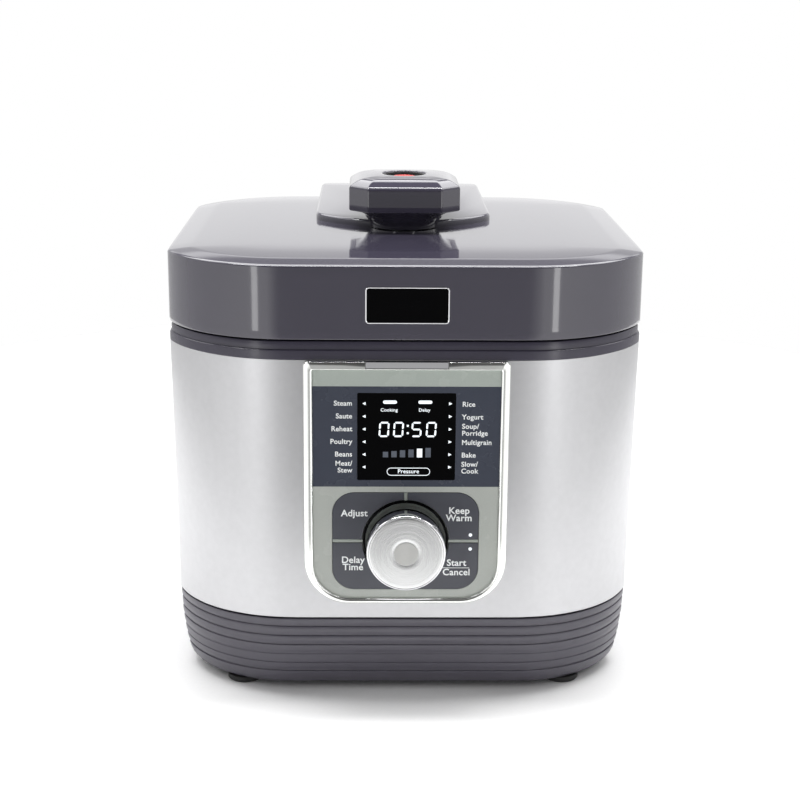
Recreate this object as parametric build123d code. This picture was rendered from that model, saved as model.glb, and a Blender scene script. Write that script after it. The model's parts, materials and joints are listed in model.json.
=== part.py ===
"""An electric pressure cooker with a hinged lid, as separate pieces. Millimetres, +Z up, front towards -Y.

The origin is on the surface that the feet stand on, under the middle of the body.
"""
from build123d import *
from math import cos, radians, sin
import os

os.makedirs("parts", exist_ok=True)

# --- Driving dimensions ---------------------------------------------------------------------
HALF_W, HALF_D = 160.0, 155.0  # lid and upper body, half width and half depth
FLAT_X, FLAT_Y = 85.0, 97.5  # half lengths of the straight front and side faces
# a corner curve's two inner control points, as shares of the way from its ends towards the corner
LEAVE_X, LEAVE_Y, ARRIVE_X, ARRIVE_Y = 0.452, 0.057, 0.159, 0.555
REACH_Y = 181.0  # control knob's face in front, hinge cover's back behind

FOOT_TOP = 4.0
BASE_TOP = 55.5
SKIN_BOTTOM, SKIN_TOP = 56.9, 236.0
RING_STEP, RING_TOP = 242.5, 248.0
LID_BOTTOM, LID_RIM, LID_TOP = 249.2, 298.5, 300.8
SKIN_NARROW = 2.5  # the steel wrap is this much narrower each side at its foot
SKIN_T, SHELL_T, LID_T = 1.0, 2.5, 2.6

POT_Y = -12.0  # the pot, the lid lock and the turn handle share this upright axis
POT_R, POT_WALL = 104.0, 1.5  # inner pot, inside radius and wall
POT_FLOOR, POT_RIM = 78.0, 243.1
OUTER_POT_R, OUTER_POT_WALL = 107.0, 2.0
EAR_R, FLANGE_R = 120.0, 111.6
LOCK_RING_R, LOCK_RING_T = 121.5, 3.0
RING_HOLE_R = 126.6
EARS = 6  # bayonet ears on the pot and lugs on the lock ring
EAR_DEG = 23.0
TURN_DEG = 30.0  # the handle's travel from open to locked

GRIP_HALF, GRIP_FACET = 39.0, 25.8  # turn handle: a square of this half width with cut corners
GRIP_BOTTOM, GRIP_WALL_TOP, GRIP_TOP = 315.0, 332.2, 338.4
NECK_R, NECK_TOP_R = 24.5, 27.5
RECESS_R = 15.5
SPINE_HALF, SPINE_TOP, SPINE_CORNER_R = 64.5, 305.4, 9.0  # raised strip that covers the lid's hinge
HINGE_Y, HINGE_Z, PIN_R = 166.0, 242.0, 2.5

PANEL_Y = -156.5  # outer face of the panel film
FRAME_HALF, FRAME_BOTTOM, FRAME_TOP, FRAME_PROUD = 67.3, 68.4, 235.6, 3.4
FILM_HALF, FILM_BOTTOM, FILM_TOP = 61.2, 72.2, 229.9
SCREEN_HALF, SCREEN_BOTTOM, SCREEN_TOP = 32.2, 155.0, 214.4
KEYS_HALF, KEYS_BOTTOM, KEYS_TOP, KEYS_CORNER = 48.8, 78.0, 146.6, 15.0
KEY_GAP = 2.7
KNOB_Z, KNOB_R, KNOB_RING_R = 112.4, 25.9, 28.3
RELEASE_HALF, RELEASE_LOW, RELEASE_HIGH, RELEASE_TRAVEL = 26.7, 231.2, 235.2, 2.0
LATCH_Y, LATCH_Z, CATCH_Y = -141.4, 190.0, -150.4
WINDOW_HALF, WINDOW_LOW, WINDOW_HIGH = 27.1, 260.0, 284.0

MIN = (Align.CENTER, Align.CENTER, Align.MIN)
parts = {}


# --- Shape helpers --------------------------------------------------------------------------
def outline(half_w, half_d, z, inset=0.0):
    """The body's plan at height z: straight sides joined by wide, soft corners."""
    w, d = half_w - inset, half_d - inset
    ax, ay = FLAT_X + LEAVE_X * (w - FLAT_X), d - LEAVE_Y * (d - FLAT_Y)
    bx, by = w - ARRIVE_X * (w - FLAT_X), FLAT_Y + ARRIVE_Y * (d - FLAT_Y)
    corners = [
        ((FLAT_X, -d), (ax, -ay), (bx, -by), (w, -FLAT_Y)),
        ((w, FLAT_Y), (bx, by), (ax, ay), (FLAT_X, d)),
        ((-FLAT_X, d), (-ax, ay), (-bx, by), (-w, FLAT_Y)),
        ((-w, -FLAT_Y), (-bx, -by), (-ax, -ay), (-FLAT_X, -d)),
    ]
    edges = []
    for i, corner in enumerate(corners):
        edges.append(Bezier(*corner))
        edges.append(Line(corner[-1], corners[(i + 1) % 4][0]))
    return Pos(0, 0, z) * make_face(Curve() + edges)


def prism(z0, z1, inset=0.0, half_w=HALF_W, half_d=HALF_D):
    return extrude(outline(half_w, half_d, z0, inset), z1 - z0)


def stack(levels, half_w=HALF_W, half_d=HALF_D):
    """A solid through (height, inset) levels of the body's plan."""
    return loft([outline(half_w, half_d, z, inset) for z, inset in levels], ruled=True)


def box(x0, x1, y0, y1, z0, z1):
    size = (x1 - x0, y1 - y0, z1 - z0)
    return Pos((x0 + x1) / 2, (y0 + y1) / 2, (z0 + z1) / 2) * Box(*size)


def post(r, z0, z1, x=0.0, y=POT_Y):
    return Pos(x, y, z0) * Cylinder(r, z1 - z0, align=MIN)


def tube(r_out, r_in, z0, z1, x=0.0, y=POT_Y):
    return post(r_out, z0, z1, x, y) - post(r_in, z0 - 1, z1 + 1, x, y)


def bar_y(r, y_back, y_front, x=0.0, z=0.0):
    """A round bar along Y, from y_back forwards to y_front."""
    return Pos(x, y_back, z) * Rot(90, 0, 0) * Cylinder(r, y_back - y_front, align=MIN)


def bar_x(r, x0, x1, y, z):
    return Pos(x0, y, z) * Rot(0, 90, 0) * Cylinder(r, x1 - x0, align=MIN)


def turned(profile):
    """A solid turned about the pot's axis from (radius, height) points."""
    face = make_face(Polyline(*[(r, 0, z) for r, z in profile], close=True))
    return Pos(0, POT_Y, 0) * revolve(face, Axis.Z)


def sector(r_in, r_out, middle_deg, width_deg, z0, z1):
    start = middle_deg - width_deg / 2
    inner = CenterArc((0, 0), r_in, start, width_deg)
    outer = CenterArc((0, 0), r_out, start, width_deg)
    ends = [Line(inner @ 0, outer @ 0), Line(inner @ 1, outer @ 1)]
    face = make_face(Curve() + [inner, outer] + ends)
    return Pos(0, POT_Y, z0) * extrude(face, z1 - z0)


def on_front(face, y_back, y_front):
    """A plan drawn in X and Z, made into a plate from y_back forwards to y_front."""
    plane = Plane(origin=(0, y_back, 0), x_dir=(1, 0, 0), z_dir=(0, -1, 0))
    return extrude(plane * face, y_back - y_front)


def panel_plan(half_w, z0, z1, r_bottom, r_top):
    face = Pos(0, (z0 + z1) / 2) * Rectangle(2 * half_w, z1 - z0)
    face = fillet(face.vertices().group_by(Axis.Y)[0], radius=r_bottom)
    return fillet(face.vertices().group_by(Axis.Y)[-1], radius=r_top)


def octagon(half, facet, z):
    """A square with cut corners; facet is half the length of each main side."""
    ring = [
        (facet, -half), (half, -facet), (half, facet), (facet, half),
        (-facet, half), (-half, facet), (-half, -facet), (-facet, -half),
    ]
    return Pos(0, POT_Y, z) * make_face(Polyline(*ring, close=True))


def coil(radius, wire_r, height, turns):
    path = Helix(pitch=height / turns, height=height, radius=radius)
    section = Plane(origin=path @ 0, z_dir=path % 0) * Circle(wire_r)
    return sweep(section, path, is_frenet=True)


def mirrored(shape):
    return shape + mirror(shape, about=Plane.YZ)


# --- Base: feet, ribbed shell, bottom cover --------------------------------------------------
BASE_LEVELS = [
    (FOOT_TOP, 13.0), (5.2, 10.0), (8.5, 7.2), (14.7, 5.0),
    (27.0, 2.6), (40.0, 1.0), (BASE_TOP, 0.3),
]
BASE_HALF_W, BASE_HALF_D = HALF_W - SKIN_NARROW, HALF_D - 1.2
GROOVES_LOW, GROOVES_PITCH, GROOVES, GROOVE_H, GROOVE_DEEP = 15.0, 6.9, 6, 1.0, 0.9
FOOT_X, FOOT_Y, FOOT_R = 110.5, 124.0, 12.3
INLET_HALF, INLET_LOW, INLET_HIGH = 14.0, 25.0, 45.0


def base_inset(z):
    """The base shell's inset at height z, read off its levels."""
    for (z0, i0), (z1, i1) in zip(BASE_LEVELS, BASE_LEVELS[1:]):
        if z0 <= z <= z1:
            return i0 + (i1 - i0) * (z - z0) / (z1 - z0)
    return 0.0


def make_base():
    feet = []
    for x in (-FOOT_X, FOOT_X):
        for y in (-FOOT_Y, FOOT_Y):
            foot = Pos(x, y, 0) * Cylinder(FOOT_R, FOOT_TOP, align=MIN)
            feet.append(chamfer(foot.edges().group_by(Axis.Z)[0], 0.8))
    parts["feet"] = Compound(children=feet)

    shell = stack(BASE_LEVELS, BASE_HALF_W, BASE_HALF_D)
    inner_levels = [(z, i + SHELL_T) for z, i in BASE_LEVELS if z > FOOT_TOP + SHELL_T]
    inner_levels[0] = (FOOT_TOP + SHELL_T, inner_levels[0][1] + 2.0)
    inner_levels[-1] = (BASE_TOP + 1, inner_levels[-1][1])
    shell -= stack(inner_levels, BASE_HALF_W, BASE_HALF_D)
    for i in range(GROOVES):
        z = GROOVES_LOW + i * GROOVES_PITCH
        keep = prism(z, z + GROOVE_H, base_inset(z) + GROOVE_DEEP, BASE_HALF_W, BASE_HALF_D)
        shell -= box(-200, 200, -200, 200, z, z + GROOVE_H) - keep
    shell -= prism(0, FOOT_TOP + SHELL_T + 1, 30.0, BASE_HALF_W, BASE_HALF_D)
    shell -= box(-INLET_HALF, INLET_HALF, 120, 160, INLET_LOW, INLET_HIGH)
    # the spigot that the steel wrap slips over
    spigot = prism(BASE_TOP, BASE_TOP + 8, 3.2, BASE_HALF_W, BASE_HALF_D)
    spigot -= prism(BASE_TOP - 1, BASE_TOP + 9, 5.4, BASE_HALF_W, BASE_HALF_D)
    lip = prism(BASE_TOP - 3, BASE_TOP, 0.3 + SHELL_T - 0.5, BASE_HALF_W, BASE_HALF_D)
    lip -= prism(BASE_TOP - 4, BASE_TOP + 1, 5.4, BASE_HALF_W, BASE_HALF_D)
    parts["base_shell"] = shell + lip + spigot

    cover = prism(FOOT_TOP + 0.5, FOOT_TOP + 3.0, 30.5, BASE_HALF_W, BASE_HALF_D)
    for i in range(-4, 5):
        cover -= box(-40, 40, i * 14 - 2.5, i * 14 + 2.5, 0, 20)
    places = [(x, y) for x in (-115, 115) for y in (-60, 60)]
    for x, y in places:
        cover -= post(2.1, 0, 20, x, y)
    parts["bottom_cover"] = cover
    screws = []
    for x, y in places:
        screws.append(post(3.6, FOOT_TOP - 1.6, FOOT_TOP + 0.5, x, y) + post(2.0, FOOT_TOP + 0.5, 14, x, y))
    parts["bottom_screws"] = Compound(children=screws)


def make_body():
    def wrap(inset, z0, z1):
        low = outline(HALF_W - SKIN_NARROW, HALF_D, z0, inset)
        high = outline(HALF_W, HALF_D, z1, inset)
        return loft([low, high], ruled=True)

    skin = wrap(0, SKIN_BOTTOM, SKIN_TOP) - wrap(SKIN_T, SKIN_BOTTOM, SKIN_TOP)
    opening = panel_plan(60.0, 75.0, 229.0, 24.0, 3.0)
    skin -= on_front(opening, -140, -170)
    skin -= on_front(Pos(0, (RELEASE_LOW + RELEASE_HIGH) / 2) * Rectangle(44.0, 3.0), -140, -170)
    skin -= bar_y(4.6, 170, 140, 0, 211)
    parts["body_skin"] = skin

    ring = prism(SKIN_TOP, RING_STEP) + prism(RING_STEP, RING_TOP, 1.3)
    ring -= post(RING_HOLE_R, 200, 260)
    ring -= box(-9, 9, -150.5, -130, 200, 260)
    # a drain groove round the pot and its outlet at the back
    ring -= tube(132.0, 129.4, RING_TOP - 2.5, 260)
    ring -= post(2.8, 200, 260, 0, POT_Y + 131)
    ring -= box(-2.8, 2.8, POT_Y + 130, 147, RING_TOP - 2.5, 260)
    ring -= post(2.8, 200, 260, 0, 147)
    parts["upper_ring"] = ring


def make_pots():
    floor, r = POT_FLOOR, POT_R
    outer = r + POT_WALL
    parts["inner_pot"] = turned([
        (0, floor - 1.5), (outer - 14, floor - 1.5), (outer - 4, floor + 3), (outer, floor + 14),
        (outer, POT_RIM), (FLANGE_R - 1.0, POT_RIM), (FLANGE_R - 1.0, POT_RIM + 1.8), (r, POT_RIM + 1.8),
        (r, floor + 15), (r - 4, floor + 4.5), (r - 13, floor), (0, floor),
    ])
    wall = OUTER_POT_R + OUTER_POT_WALL
    pot = turned([
        (84, 70), (wall, 70), (wall, 239.6), (FLANGE_R, 239.6), (FLANGE_R, POT_RIM - 0.1),
        (OUTER_POT_R, POT_RIM - 0.1), (OUTER_POT_R, 72), (84, 72),
    ])
    for i in range(EARS):
        angle = 90 + i * 360 / EARS
        pot += sector(FLANGE_R - 1, EAR_R, angle, EAR_DEG, 239.6, POT_RIM - 0.1)
    parts["pressure_pot"] = pot
    shield_r = wall + 5
    shield = tube(shield_r + 0.8, shield_r, 66, 231) + tube(shield_r, wall + 0.6, 66, 66.8)
    for i in range(3):
        turn = Pos(0, POT_Y, 66.8) * Rot(0, 0, 30 + 120 * i)
        shield += turn * Pos(wall + 2.9, 0, 0) * Box(4.8, 14, 60, align=MIN)
    parts["heat_shield"] = shield


def make_heater():
    plate = turned([(13, 66), (80, 66), (80, 73), (74, 76.3), (13, 76.3)])
    element = Pos(0, POT_Y, 63.4) * Torus(62, 4.0)
    element -= box(-8, 8, POT_Y - 80, POT_Y - 50, 50, 65.9)
    plate += element
    for x in (-11, 11):
        plate += post(1.6, 48, 62.0, x, POT_Y - 61.0)
    parts["heating_plate"] = plate

    parts["temperature_sensor"] = post(9.8, 66, 76.4) + post(3.4, 45, 66)
    parts["sensor_spring"] = Pos(0, POT_Y, 51.2) * coil(7.2, 0.6, 12.8, 5)

    # the sprung plate under the heater, its feet, the posts above it and the sensor's guide
    sprung = turned([(16, 53), (96, 53), (96, 54.5), (16, 54.5)])
    sprung -= box(-20, 20, POT_Y - 76, POT_Y - 48, 50, 58)
    supports = [sprung, tube(12.4, 10.6, 48, 74) + tube(10.6, 4.0, 48, 49.5)]
    for i in range(4):
        angle = radians(45 + 90 * i)
        supports.append(post(4.0, 54.5, 66.0, cos(angle) * 42, POT_Y + sin(angle) * 42))
        supports.append(post(4.5, FOOT_TOP + 3.0, 53.0, cos(angle) * 88, POT_Y + sin(angle) * 88))
    parts["heater_supports"] = Compound(children=supports)

    switch = box(24, 46, POT_Y - 8, POT_Y + 8, 38, 52) + post(2.0, 52, 53.0, 35, POT_Y)
    fuse = bar_x(2.6, -44, -24, POT_Y + 14, 59.4) + bar_x(0.7, -50, -18, POT_Y + 14, 59.4)
    parts["safety_switches"] = Compound(children=[switch, fuse])


def make_electrics():
    parts["power_board"] = box(-60, 60, 122, 123.6, 84, 190)
    on_board = [box(-48, -18, 123.6, 146, 100, 132), box(4, 24, 123.6, 139, 104, 134)]
    for r, length, x, z in ((8, 20, 42, 112), (6, 16, 46, 150), (5, 14, -40, 156), (5, 14, -22, 168)):
        on_board.append(bar_y(r, 123.6 + length, 123.6, x, z))
    # what sits on the display board: the display block and four tact switches
    back = -HALF_D
    on_board.append(box(-30, 30, back + 5.0, back + 8.6, 157, 212))
    for x, z in key_places():
        can = box(x - 3, x + 3, back + 5.8, back + 8.7, z - 3, z + 3)
        on_board.append(can + bar_y(1.6, back + 5.8, back + 5.2, x, z))
    parts["board_components"] = Compound(children=on_board)
    posts = [box(x - 4, x + 4, 123.8, 153.8, z - 4, z + 4) for x in (-55, 55) for z in (96, 178)]
    posts += [box(x - 3, x + 3, back + 4.5, back + 8.7, z - 3, z + 3) for x in (-52, 52) for z in (83, 220)]
    parts["board_posts"] = Compound(children=posts)

    inlet = box(-INLET_HALF + 0.3, INLET_HALF - 0.3, 132, 153.9, INLET_LOW + 0.3, INLET_HIGH - 0.3)
    inlet += box(-19, 19, 153.9, 156.0, INLET_LOW - 2.5, INLET_HIGH + 2.5)
    cavity = Plane(origin=(0, 157, 35), x_dir=(1, 0, 0), z_dir=(0, -1, 0)) * RectangleRounded(24, 16, 3)
    inlet -= extrude(cavity, 22)
    parts["power_inlet"] = inlet
    pins = []
    for x, z in ((-7, 33), (0, 37), (7, 33)):
        pins.append(box(x - 2, x + 2, 135, 148, z - 1, z + 1))
        pins.append(box(x - 3, x + 3, 122, 132, z - 0.6, z + 0.6))
    parts["inlet_pins"] = Compound(children=pins)


def make_panel():
    back = -HALF_D
    frame_plan = panel_plan(FRAME_HALF, FRAME_BOTTOM, FRAME_TOP, 30.0, 3.0)
    inner = panel_plan(FILM_HALF + 0.2, FILM_BOTTOM - 0.2, FILM_TOP + 0.2, 25.0, 1.5)
    frame = on_front(frame_plan, back, back - FRAME_PROUD)
    frame = chamfer(frame.faces().sort_by(Axis.Y)[0].edges(), 1.4)
    frame -= on_front(inner, back + 1, back - FRAME_PROUD - 1)
    front_face = frame.faces().sort_by(Axis.Y)[0]
    inner_edges = front_face.inner_wires()[0].edges()
    frame = chamfer(inner_edges, 1.4)
    middle = (RELEASE_LOW + RELEASE_HIGH) / 2
    slot = Pos(0, middle) * Rectangle(2 * RELEASE_HALF + 0.8, RELEASE_HIGH - RELEASE_LOW + 0.7)
    frame -= on_front(slot, back + 1, back - FRAME_PROUD - 1)
    parts["panel_frame"] = frame

    keys_plan = panel_plan(KEYS_HALF, KEYS_BOTTOM, KEYS_TOP, KEYS_CORNER, KEYS_CORNER)
    screen_mid = (SCREEN_BOTTOM + SCREEN_TOP) / 2
    screen_h = SCREEN_TOP - SCREEN_BOTTOM
    film_plan = panel_plan(FILM_HALF, FILM_BOTTOM, FILM_TOP, 24.8, 1.3)
    film_plan -= keys_plan
    film_plan -= Pos(0, screen_mid) * RectangleRounded(2 * SCREEN_HALF, screen_h, 1.0)
    parts["panel_film"] = on_front(film_plan, back, PANEL_Y)
    lens_plan = Pos(0, screen_mid) * RectangleRounded(2 * SCREEN_HALF - 0.1, screen_h - 0.1, 0.95)
    parts["screen_lens"] = on_front(lens_plan, back, PANEL_Y)

    # the carrier behind the wrap; its cross-shaped rib fills the gaps between the keys
    carrier_plan = panel_plan(64.0, 71.0, 229.4, 22.0, 3.0)
    carrier_plan -= Pos(0, screen_mid) * Rectangle(2 * SCREEN_HALF - 3, screen_h - 3)
    carrier_plan -= Pos(0, KNOB_Z) * Circle(5.4)
    carrier = on_front(carrier_plan, back + 4.4, back + 1.2)
    rib = Pos(0, KNOB_Z) * Rectangle(KEY_GAP - 0.7, KEYS_TOP - KEYS_BOTTOM - 1.0)
    rib += Pos(0, KNOB_Z) * Rectangle(2 * KEYS_HALF - 1.0, KEY_GAP - 0.7)
    rib -= Pos(0, KNOB_Z) * Circle(KNOB_RING_R + 0.2)
    carrier += on_front(rib, back + 1.2, PANEL_Y + 0.1)
    hub = Pos(0, KNOB_Z) * (Circle(KNOB_RING_R) - Circle(5.4))
    carrier += on_front(hub, back + 1.2, back + 0.2)
    for x, z in key_places():
        carrier -= bar_y(2.6, -140, -160, x, z)
    parts["panel_carrier"] = carrier

    hub_ring = Pos(0, KNOB_Z) * (Circle(KNOB_RING_R) - Circle(KNOB_R + 0.9))
    parts["knob_ring"] = on_front(hub_ring, back + 0.2, PANEL_Y - 0.9)
    parts["display_board"] = box(-57, 57, back + 8.8, back + 10.4, 80, 224)
    encoder = box(-6.5, 6.5, back + 4.6, back + 8.7, KNOB_Z - 6.5, KNOB_Z + 6.5)
    encoder += bar_y(4.6, back + 4.6, back - 2.4, 0, KNOB_Z)
    encoder -= bar_y(3.05, back + 8.8, back - 5, 0, KNOB_Z)
    parts["encoder"] = encoder


def key_places():
    return [(x, KNOB_Z + z) for z in (22.5, -22.5) for x in (-31, 31)]


def make_keys():
    """Four keys in the corners of one rounded field, cut round the knob's ring."""
    back = -HALF_D
    field = panel_plan(KEYS_HALF - 0.35, KEYS_BOTTOM + 0.35, KEYS_TOP - 0.35, KEYS_CORNER - 0.35, KEYS_CORNER - 0.35)
    field -= Pos(0, KNOB_Z) * Circle(KNOB_RING_R + 0.7)
    names = ("key_top_left", "key_top_right", "key_bottom_left", "key_bottom_right")
    for name, (x, z) in zip(names, key_places()):
        side_x = 1 if x > 0 else -1
        side_z = 1 if z > KNOB_Z else -1
        reach = 60
        quarter = Pos(side_x * (KEY_GAP + reach) / 2, KNOB_Z + side_z * (KEY_GAP + reach) / 2)
        face = field & (quarter * Rectangle(reach, reach))
        key = on_front(face, back + 0.6, PANEL_Y - 0.3)
        key += bar_y(2.0, back + 4.8, back + 0.6, x, z)
        parts[name] = key


def make_knob():
    front = -REACH_Y
    skirt = bar_y(KNOB_R, PANEL_Y - 1.6, front + 0.4, 0, KNOB_Z)
    skirt = chamfer(skirt.edges().group_by(Axis.Y)[0], 0.8)
    skirt -= bar_y(KNOB_R - 2.0, -150, front + 3.6, 0, KNOB_Z)
    skirt -= bar_y(KNOB_R - 1.1, front + 1.4, front - 5, 0, KNOB_Z)
    skirt += bar_y(6.5, -158.6, front + 3.6, 0, KNOB_Z)
    skirt -= bar_y(3.02, -150, front + 4.5, 0, KNOB_Z)
    parts["knob_skirt"] = skirt
    face = bar_y(KNOB_R - 1.2, front + 1.4, front, 0, KNOB_Z)
    face -= bar_y(9.0, front + 0.35, front - 1, 0, KNOB_Z)
    parts["knob_face"] = face
    parts["encoder_shaft"] = bar_y(3.0, -HALF_D + 8.4, front + 5.0, 0, KNOB_Z)


def make_release():
    """The key in the frame's top bar and the latch lever that it pushes."""
    back = -HALF_D
    middle = (RELEASE_LOW + RELEASE_HIGH) / 2
    cap = Pos(0, middle) * RectangleRounded(2 * RELEASE_HALF, RELEASE_HIGH - RELEASE_LOW, 0.8)
    key = on_front(cap, back - RELEASE_TRAVEL - 0.2, back - FRAME_PROUD + 0.3)
    key += box(-20, 20, back - RELEASE_TRAVEL - 0.2, back + 3.6, middle - 1.0, middle + 1.0)
    parts["release_key"] = key
    front, rear = LATCH_Y - 1.0, LATCH_Y + 1.0
    lever = box(-7, 7, front, rear, LATCH_Z, 253.5)
    lever += bar_x(2.8, -7, 7, LATCH_Y, LATCH_Z)
    lever += box(-5, 5, CATCH_Y + 0.5, front, 250.9, 253.5)
    lever += box(-7, 7, back + 3.7, front, middle - 2.0, middle + 2.0)
    lever -= bar_x(1.55, -10, 10, LATCH_Y, LATCH_Z)
    parts["latch_lever"] = lever
    rails = mirrored(box(8, 11, LATCH_Y - 2.2, LATCH_Y + 2.2, LATCH_Z - 5, SKIN_TOP))
    rails += bar_x(1.5, -11, 11, LATCH_Y, LATCH_Z)
    parts["latch_bracket"] = rails


# --- Lid ------------------------------------------------------------------------------------
LID_LEVELS = [(LID_BOTTOM, 0.0), (LID_RIM - 0.8, 0.0), (LID_RIM, 0.8), (299.9, 24.0), (LID_TOP, 48.0)]
LID_HOLE_R = 15.0
FRAME_Z = 270.0


def lid_solid():
    return stack(LID_LEVELS)


def make_lid():
    outer = lid_solid()
    cavity = stack([(LID_BOTTOM - 1, LID_T), (LID_RIM - LID_T, LID_T), (LID_TOP - LID_T, 49.0)])
    shell = outer - cavity - post(LID_HOLE_R, 280, 320)
    middle = (WINDOW_LOW + WINDOW_HIGH) / 2
    height = WINDOW_HIGH - WINDOW_LOW
    window = Pos(0, middle) * RectangleRounded(2 * WINDOW_HALF, height, 2.4)
    shell -= on_front(window, -140, -170)
    for x in (-20, 20):
        shell -= bar_y(2.1, 170, 140, x, 262)
        shell -= bar_y(2.1, 170, 140, x, 284)
    parts["lid_shell"] = shell

    rim = window - Pos(0, middle) * RectangleRounded(2 * WINDOW_HALF - 1.8, height - 1.8, 1.6)
    parts["window_bezel"] = on_front(rim, -HALF_D + 2.4, -HALF_D - 0.4)
    pane = Pos(0, middle) * RectangleRounded(2 * WINDOW_HALF - 2.0, height - 2.0, 1.5)
    parts["window_pane"] = on_front(pane, -HALF_D + 2.4, -HALF_D + 0.3)

    lining = prism(LID_BOTTOM + 0.6, LID_BOTTOM + 3.0, LID_T + 0.3)
    lining -= post(RING_HOLE_R, 240, 260)
    lining -= box(-10, 10, -153, -128, 240, 260)
    # the striker that the latch's nose holds, on the lining's front edge
    lining += box(-11, 11, -152.1, CATCH_Y - 0.8, LID_BOTTOM + 0.6, 262)
    lining += box(-6, 6, -152.0, CATCH_Y, LID_BOTTOM + 0.6, LID_BOTTOM + 1.4)
    parts["lid_lining"] = lining

    bridge = tube(118, 17, FRAME_Z, FRAME_Z + 2)
    for x in (-1, 1):
        bridge += box(min(x * 96, x * 140), max(x * 96, x * 140), POT_Y - 14, POT_Y + 14, FRAME_Z, FRAME_Z + 2)
    for i in range(3):
        angle = radians(5 + 120 * i)
        bridge += post(4.0, 253.2, FRAME_Z, cos(angle) * 64, POT_Y + sin(angle) * 64)
    parts["lid_bridge"] = bridge

    inner_lid = turned([
        (9.2, 251.4), (60, 251.4), (96, 247.9), (FLANGE_R + 0.6, 247.9), (FLANGE_R + 0.6, 245.8),
        (FLANGE_R + 2.0, 245.8), (FLANGE_R + 2.0, 249.5), (96, 249.5), (72, 253.2), (9.2, 253.2),
    ])
    inner_lid += post(4.0, 246.4, 262, 0, POT_Y + 44)
    parts["inner_lid"] = inner_lid - post(2.0, 240, 270, 0, POT_Y + 44)
    parts["gasket"] = turned([(97, 245.2), (FLANGE_R + 0.2, 245.2), (FLANGE_R + 0.2, 247.8), (97, 247.8)])
    parts["centre_post"] = turned([(5.2, 244.6), (12, 244.6), (12, 251.3), (9.0, 251.3), (9.0, 325), (5.2, 325)])
    cap = turned([(13.0, 238.0), (19, 238.0), (19, 251.3), (17.6, 251.3), (17.6, 239.4), (13.0, 239.4)])
    for i in range(6):
        slot = Pos(0, POT_Y, 244.5) * Rot(0, 0, 60 * i) * Pos(18.5, 0, 0) * Box(6, 6, 6)
        cap -= slot
    parts["anti_block_cap"] = cap


def make_valves():
    """The float that shows pressure in the handle's recess, and the weight on the inner lid's vent."""
    parts["float_valve"] = post(8.2, 239.6, 240.9) + post(4.6, 240.9, 333.4) + post(7.6, 333.4, 336.4)
    face = make_face(Polyline(
        (4.4, 0, 256), (8.5, 0, 256), (8.5, 0, 266.4), (0, 0, 266.4), (0, 0, 262.3), (4.4, 0, 262.3), close=True
    ))
    parts["pressure_valve"] = Pos(0, POT_Y + 44, 0) * revolve(face, Axis.Z)


def make_spine():
    """The raised strip behind the handle, which turns down over the hinge at the back."""
    front_arc = ThreePointArc((-SPINE_HALF, 16), (0, -27), (SPINE_HALF, 16))
    sides = Polyline((SPINE_HALF, 16), (SPINE_HALF, HALF_D), (-SPINE_HALF, HALF_D), (-SPINE_HALF, 16))
    strip_plan = make_face(Curve() + [front_arc, sides])
    front_corners = strip_plan.vertices().filter_by(lambda v: abs(v.Y - 16) < 0.1)
    strip_plan = fillet(front_corners, radius=SPINE_CORNER_R)
    strip = Pos(0, 0, 290) * extrude(strip_plan, SPINE_TOP - 290)
    strip -= lid_solid()
    strip -= post(NECK_TOP_R + 2.0, 280, 320)
    cover = box(-SPINE_HALF, SPINE_HALF, HALF_D, REACH_Y, HINGE_Z - 8, SPINE_TOP)
    cover = fillet(cover.edges().filter_by(Axis.X).group_by(Axis.Z)[-1].sort_by(Axis.Y)[-1], 6)
    hollow = box(-SPINE_HALF + 2.5, SPINE_HALF - 2.5, HALF_D - 1, REACH_Y - 2.5, HINGE_Z - 9, SPINE_TOP - 2.5)
    cover -= hollow
    # room to swing past the upper ring
    cover -= box(-SPINE_HALF - 1, SPINE_HALF + 1, HALF_D - 1, HALF_D + 4.4, HINGE_Z - 9, LID_BOTTOM)
    for i in range(-3, 4):
        cover -= box(i * 12 - 3.5, i * 12 + 3.5, REACH_Y - 5, REACH_Y + 1, 288, 292)
    parts["hinge_cover"] = cover + strip


def make_hinge():
    eye_r = 7.0
    plate = box(-45, 45, HALF_D + 0.1, HALF_D + 2.4, 252.5, 292)
    cheek = box(28, 34, HALF_D + 2.4, HINGE_Y + 5, HINGE_Z + 11, 286)
    cheek += box(28, 34, HINGE_Y - 5, HINGE_Y + 5, HINGE_Z, HINGE_Z + 12)
    cheek += bar_x(eye_r, 28, 34, HINGE_Y, HINGE_Z)
    plate += mirrored(cheek)
    plate -= bar_x(PIN_R + 0.05, -60, 60, HINGE_Y, HINGE_Z)
    for x in (-20, 20):
        plate -= bar_y(2.1, 170, 140, x, 262) + bar_y(2.1, 170, 140, x, 284)
    screws = []
    for x in (-20, 20):
        for z in (262, 284):
            screws.append(bar_y(2.0, HALF_D + 2.4, 144, x, z) + bar_y(3.6, HALF_D + 4.6, HALF_D + 2.4, x, z))
    parts["lid_hinge_plate"] = Compound(children=[plate] + screws)

    arm = box(38, 44, HALF_D, HINGE_Y, HINGE_Z - 5.5, HINGE_Z + 5.0)
    arm += bar_x(eye_r - 1, 38, 44, HINGE_Y, HINGE_Z)
    arms = mirrored(arm)
    arms -= bar_x(PIN_R + 0.02, -60, 60, HINGE_Y, HINGE_Z)
    parts["hinge_arms"] = Compound(children=list(arms.solids()))
    pin = bar_x(PIN_R, -48, 48, HINGE_Y, HINGE_Z)
    pin += mirrored(bar_x(3.8, 46.5, 48.5, HINGE_Y, HINGE_Z))
    parts["hinge_pin"] = pin
    springs = []
    for x in (4, -20):
        springs.append(Pos(x, HINGE_Y, HINGE_Z) * Rot(0, 90, 0) * coil(4.4, 0.8, 16, 6))
    parts["hinge_springs"] = Compound(children=springs)


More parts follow.
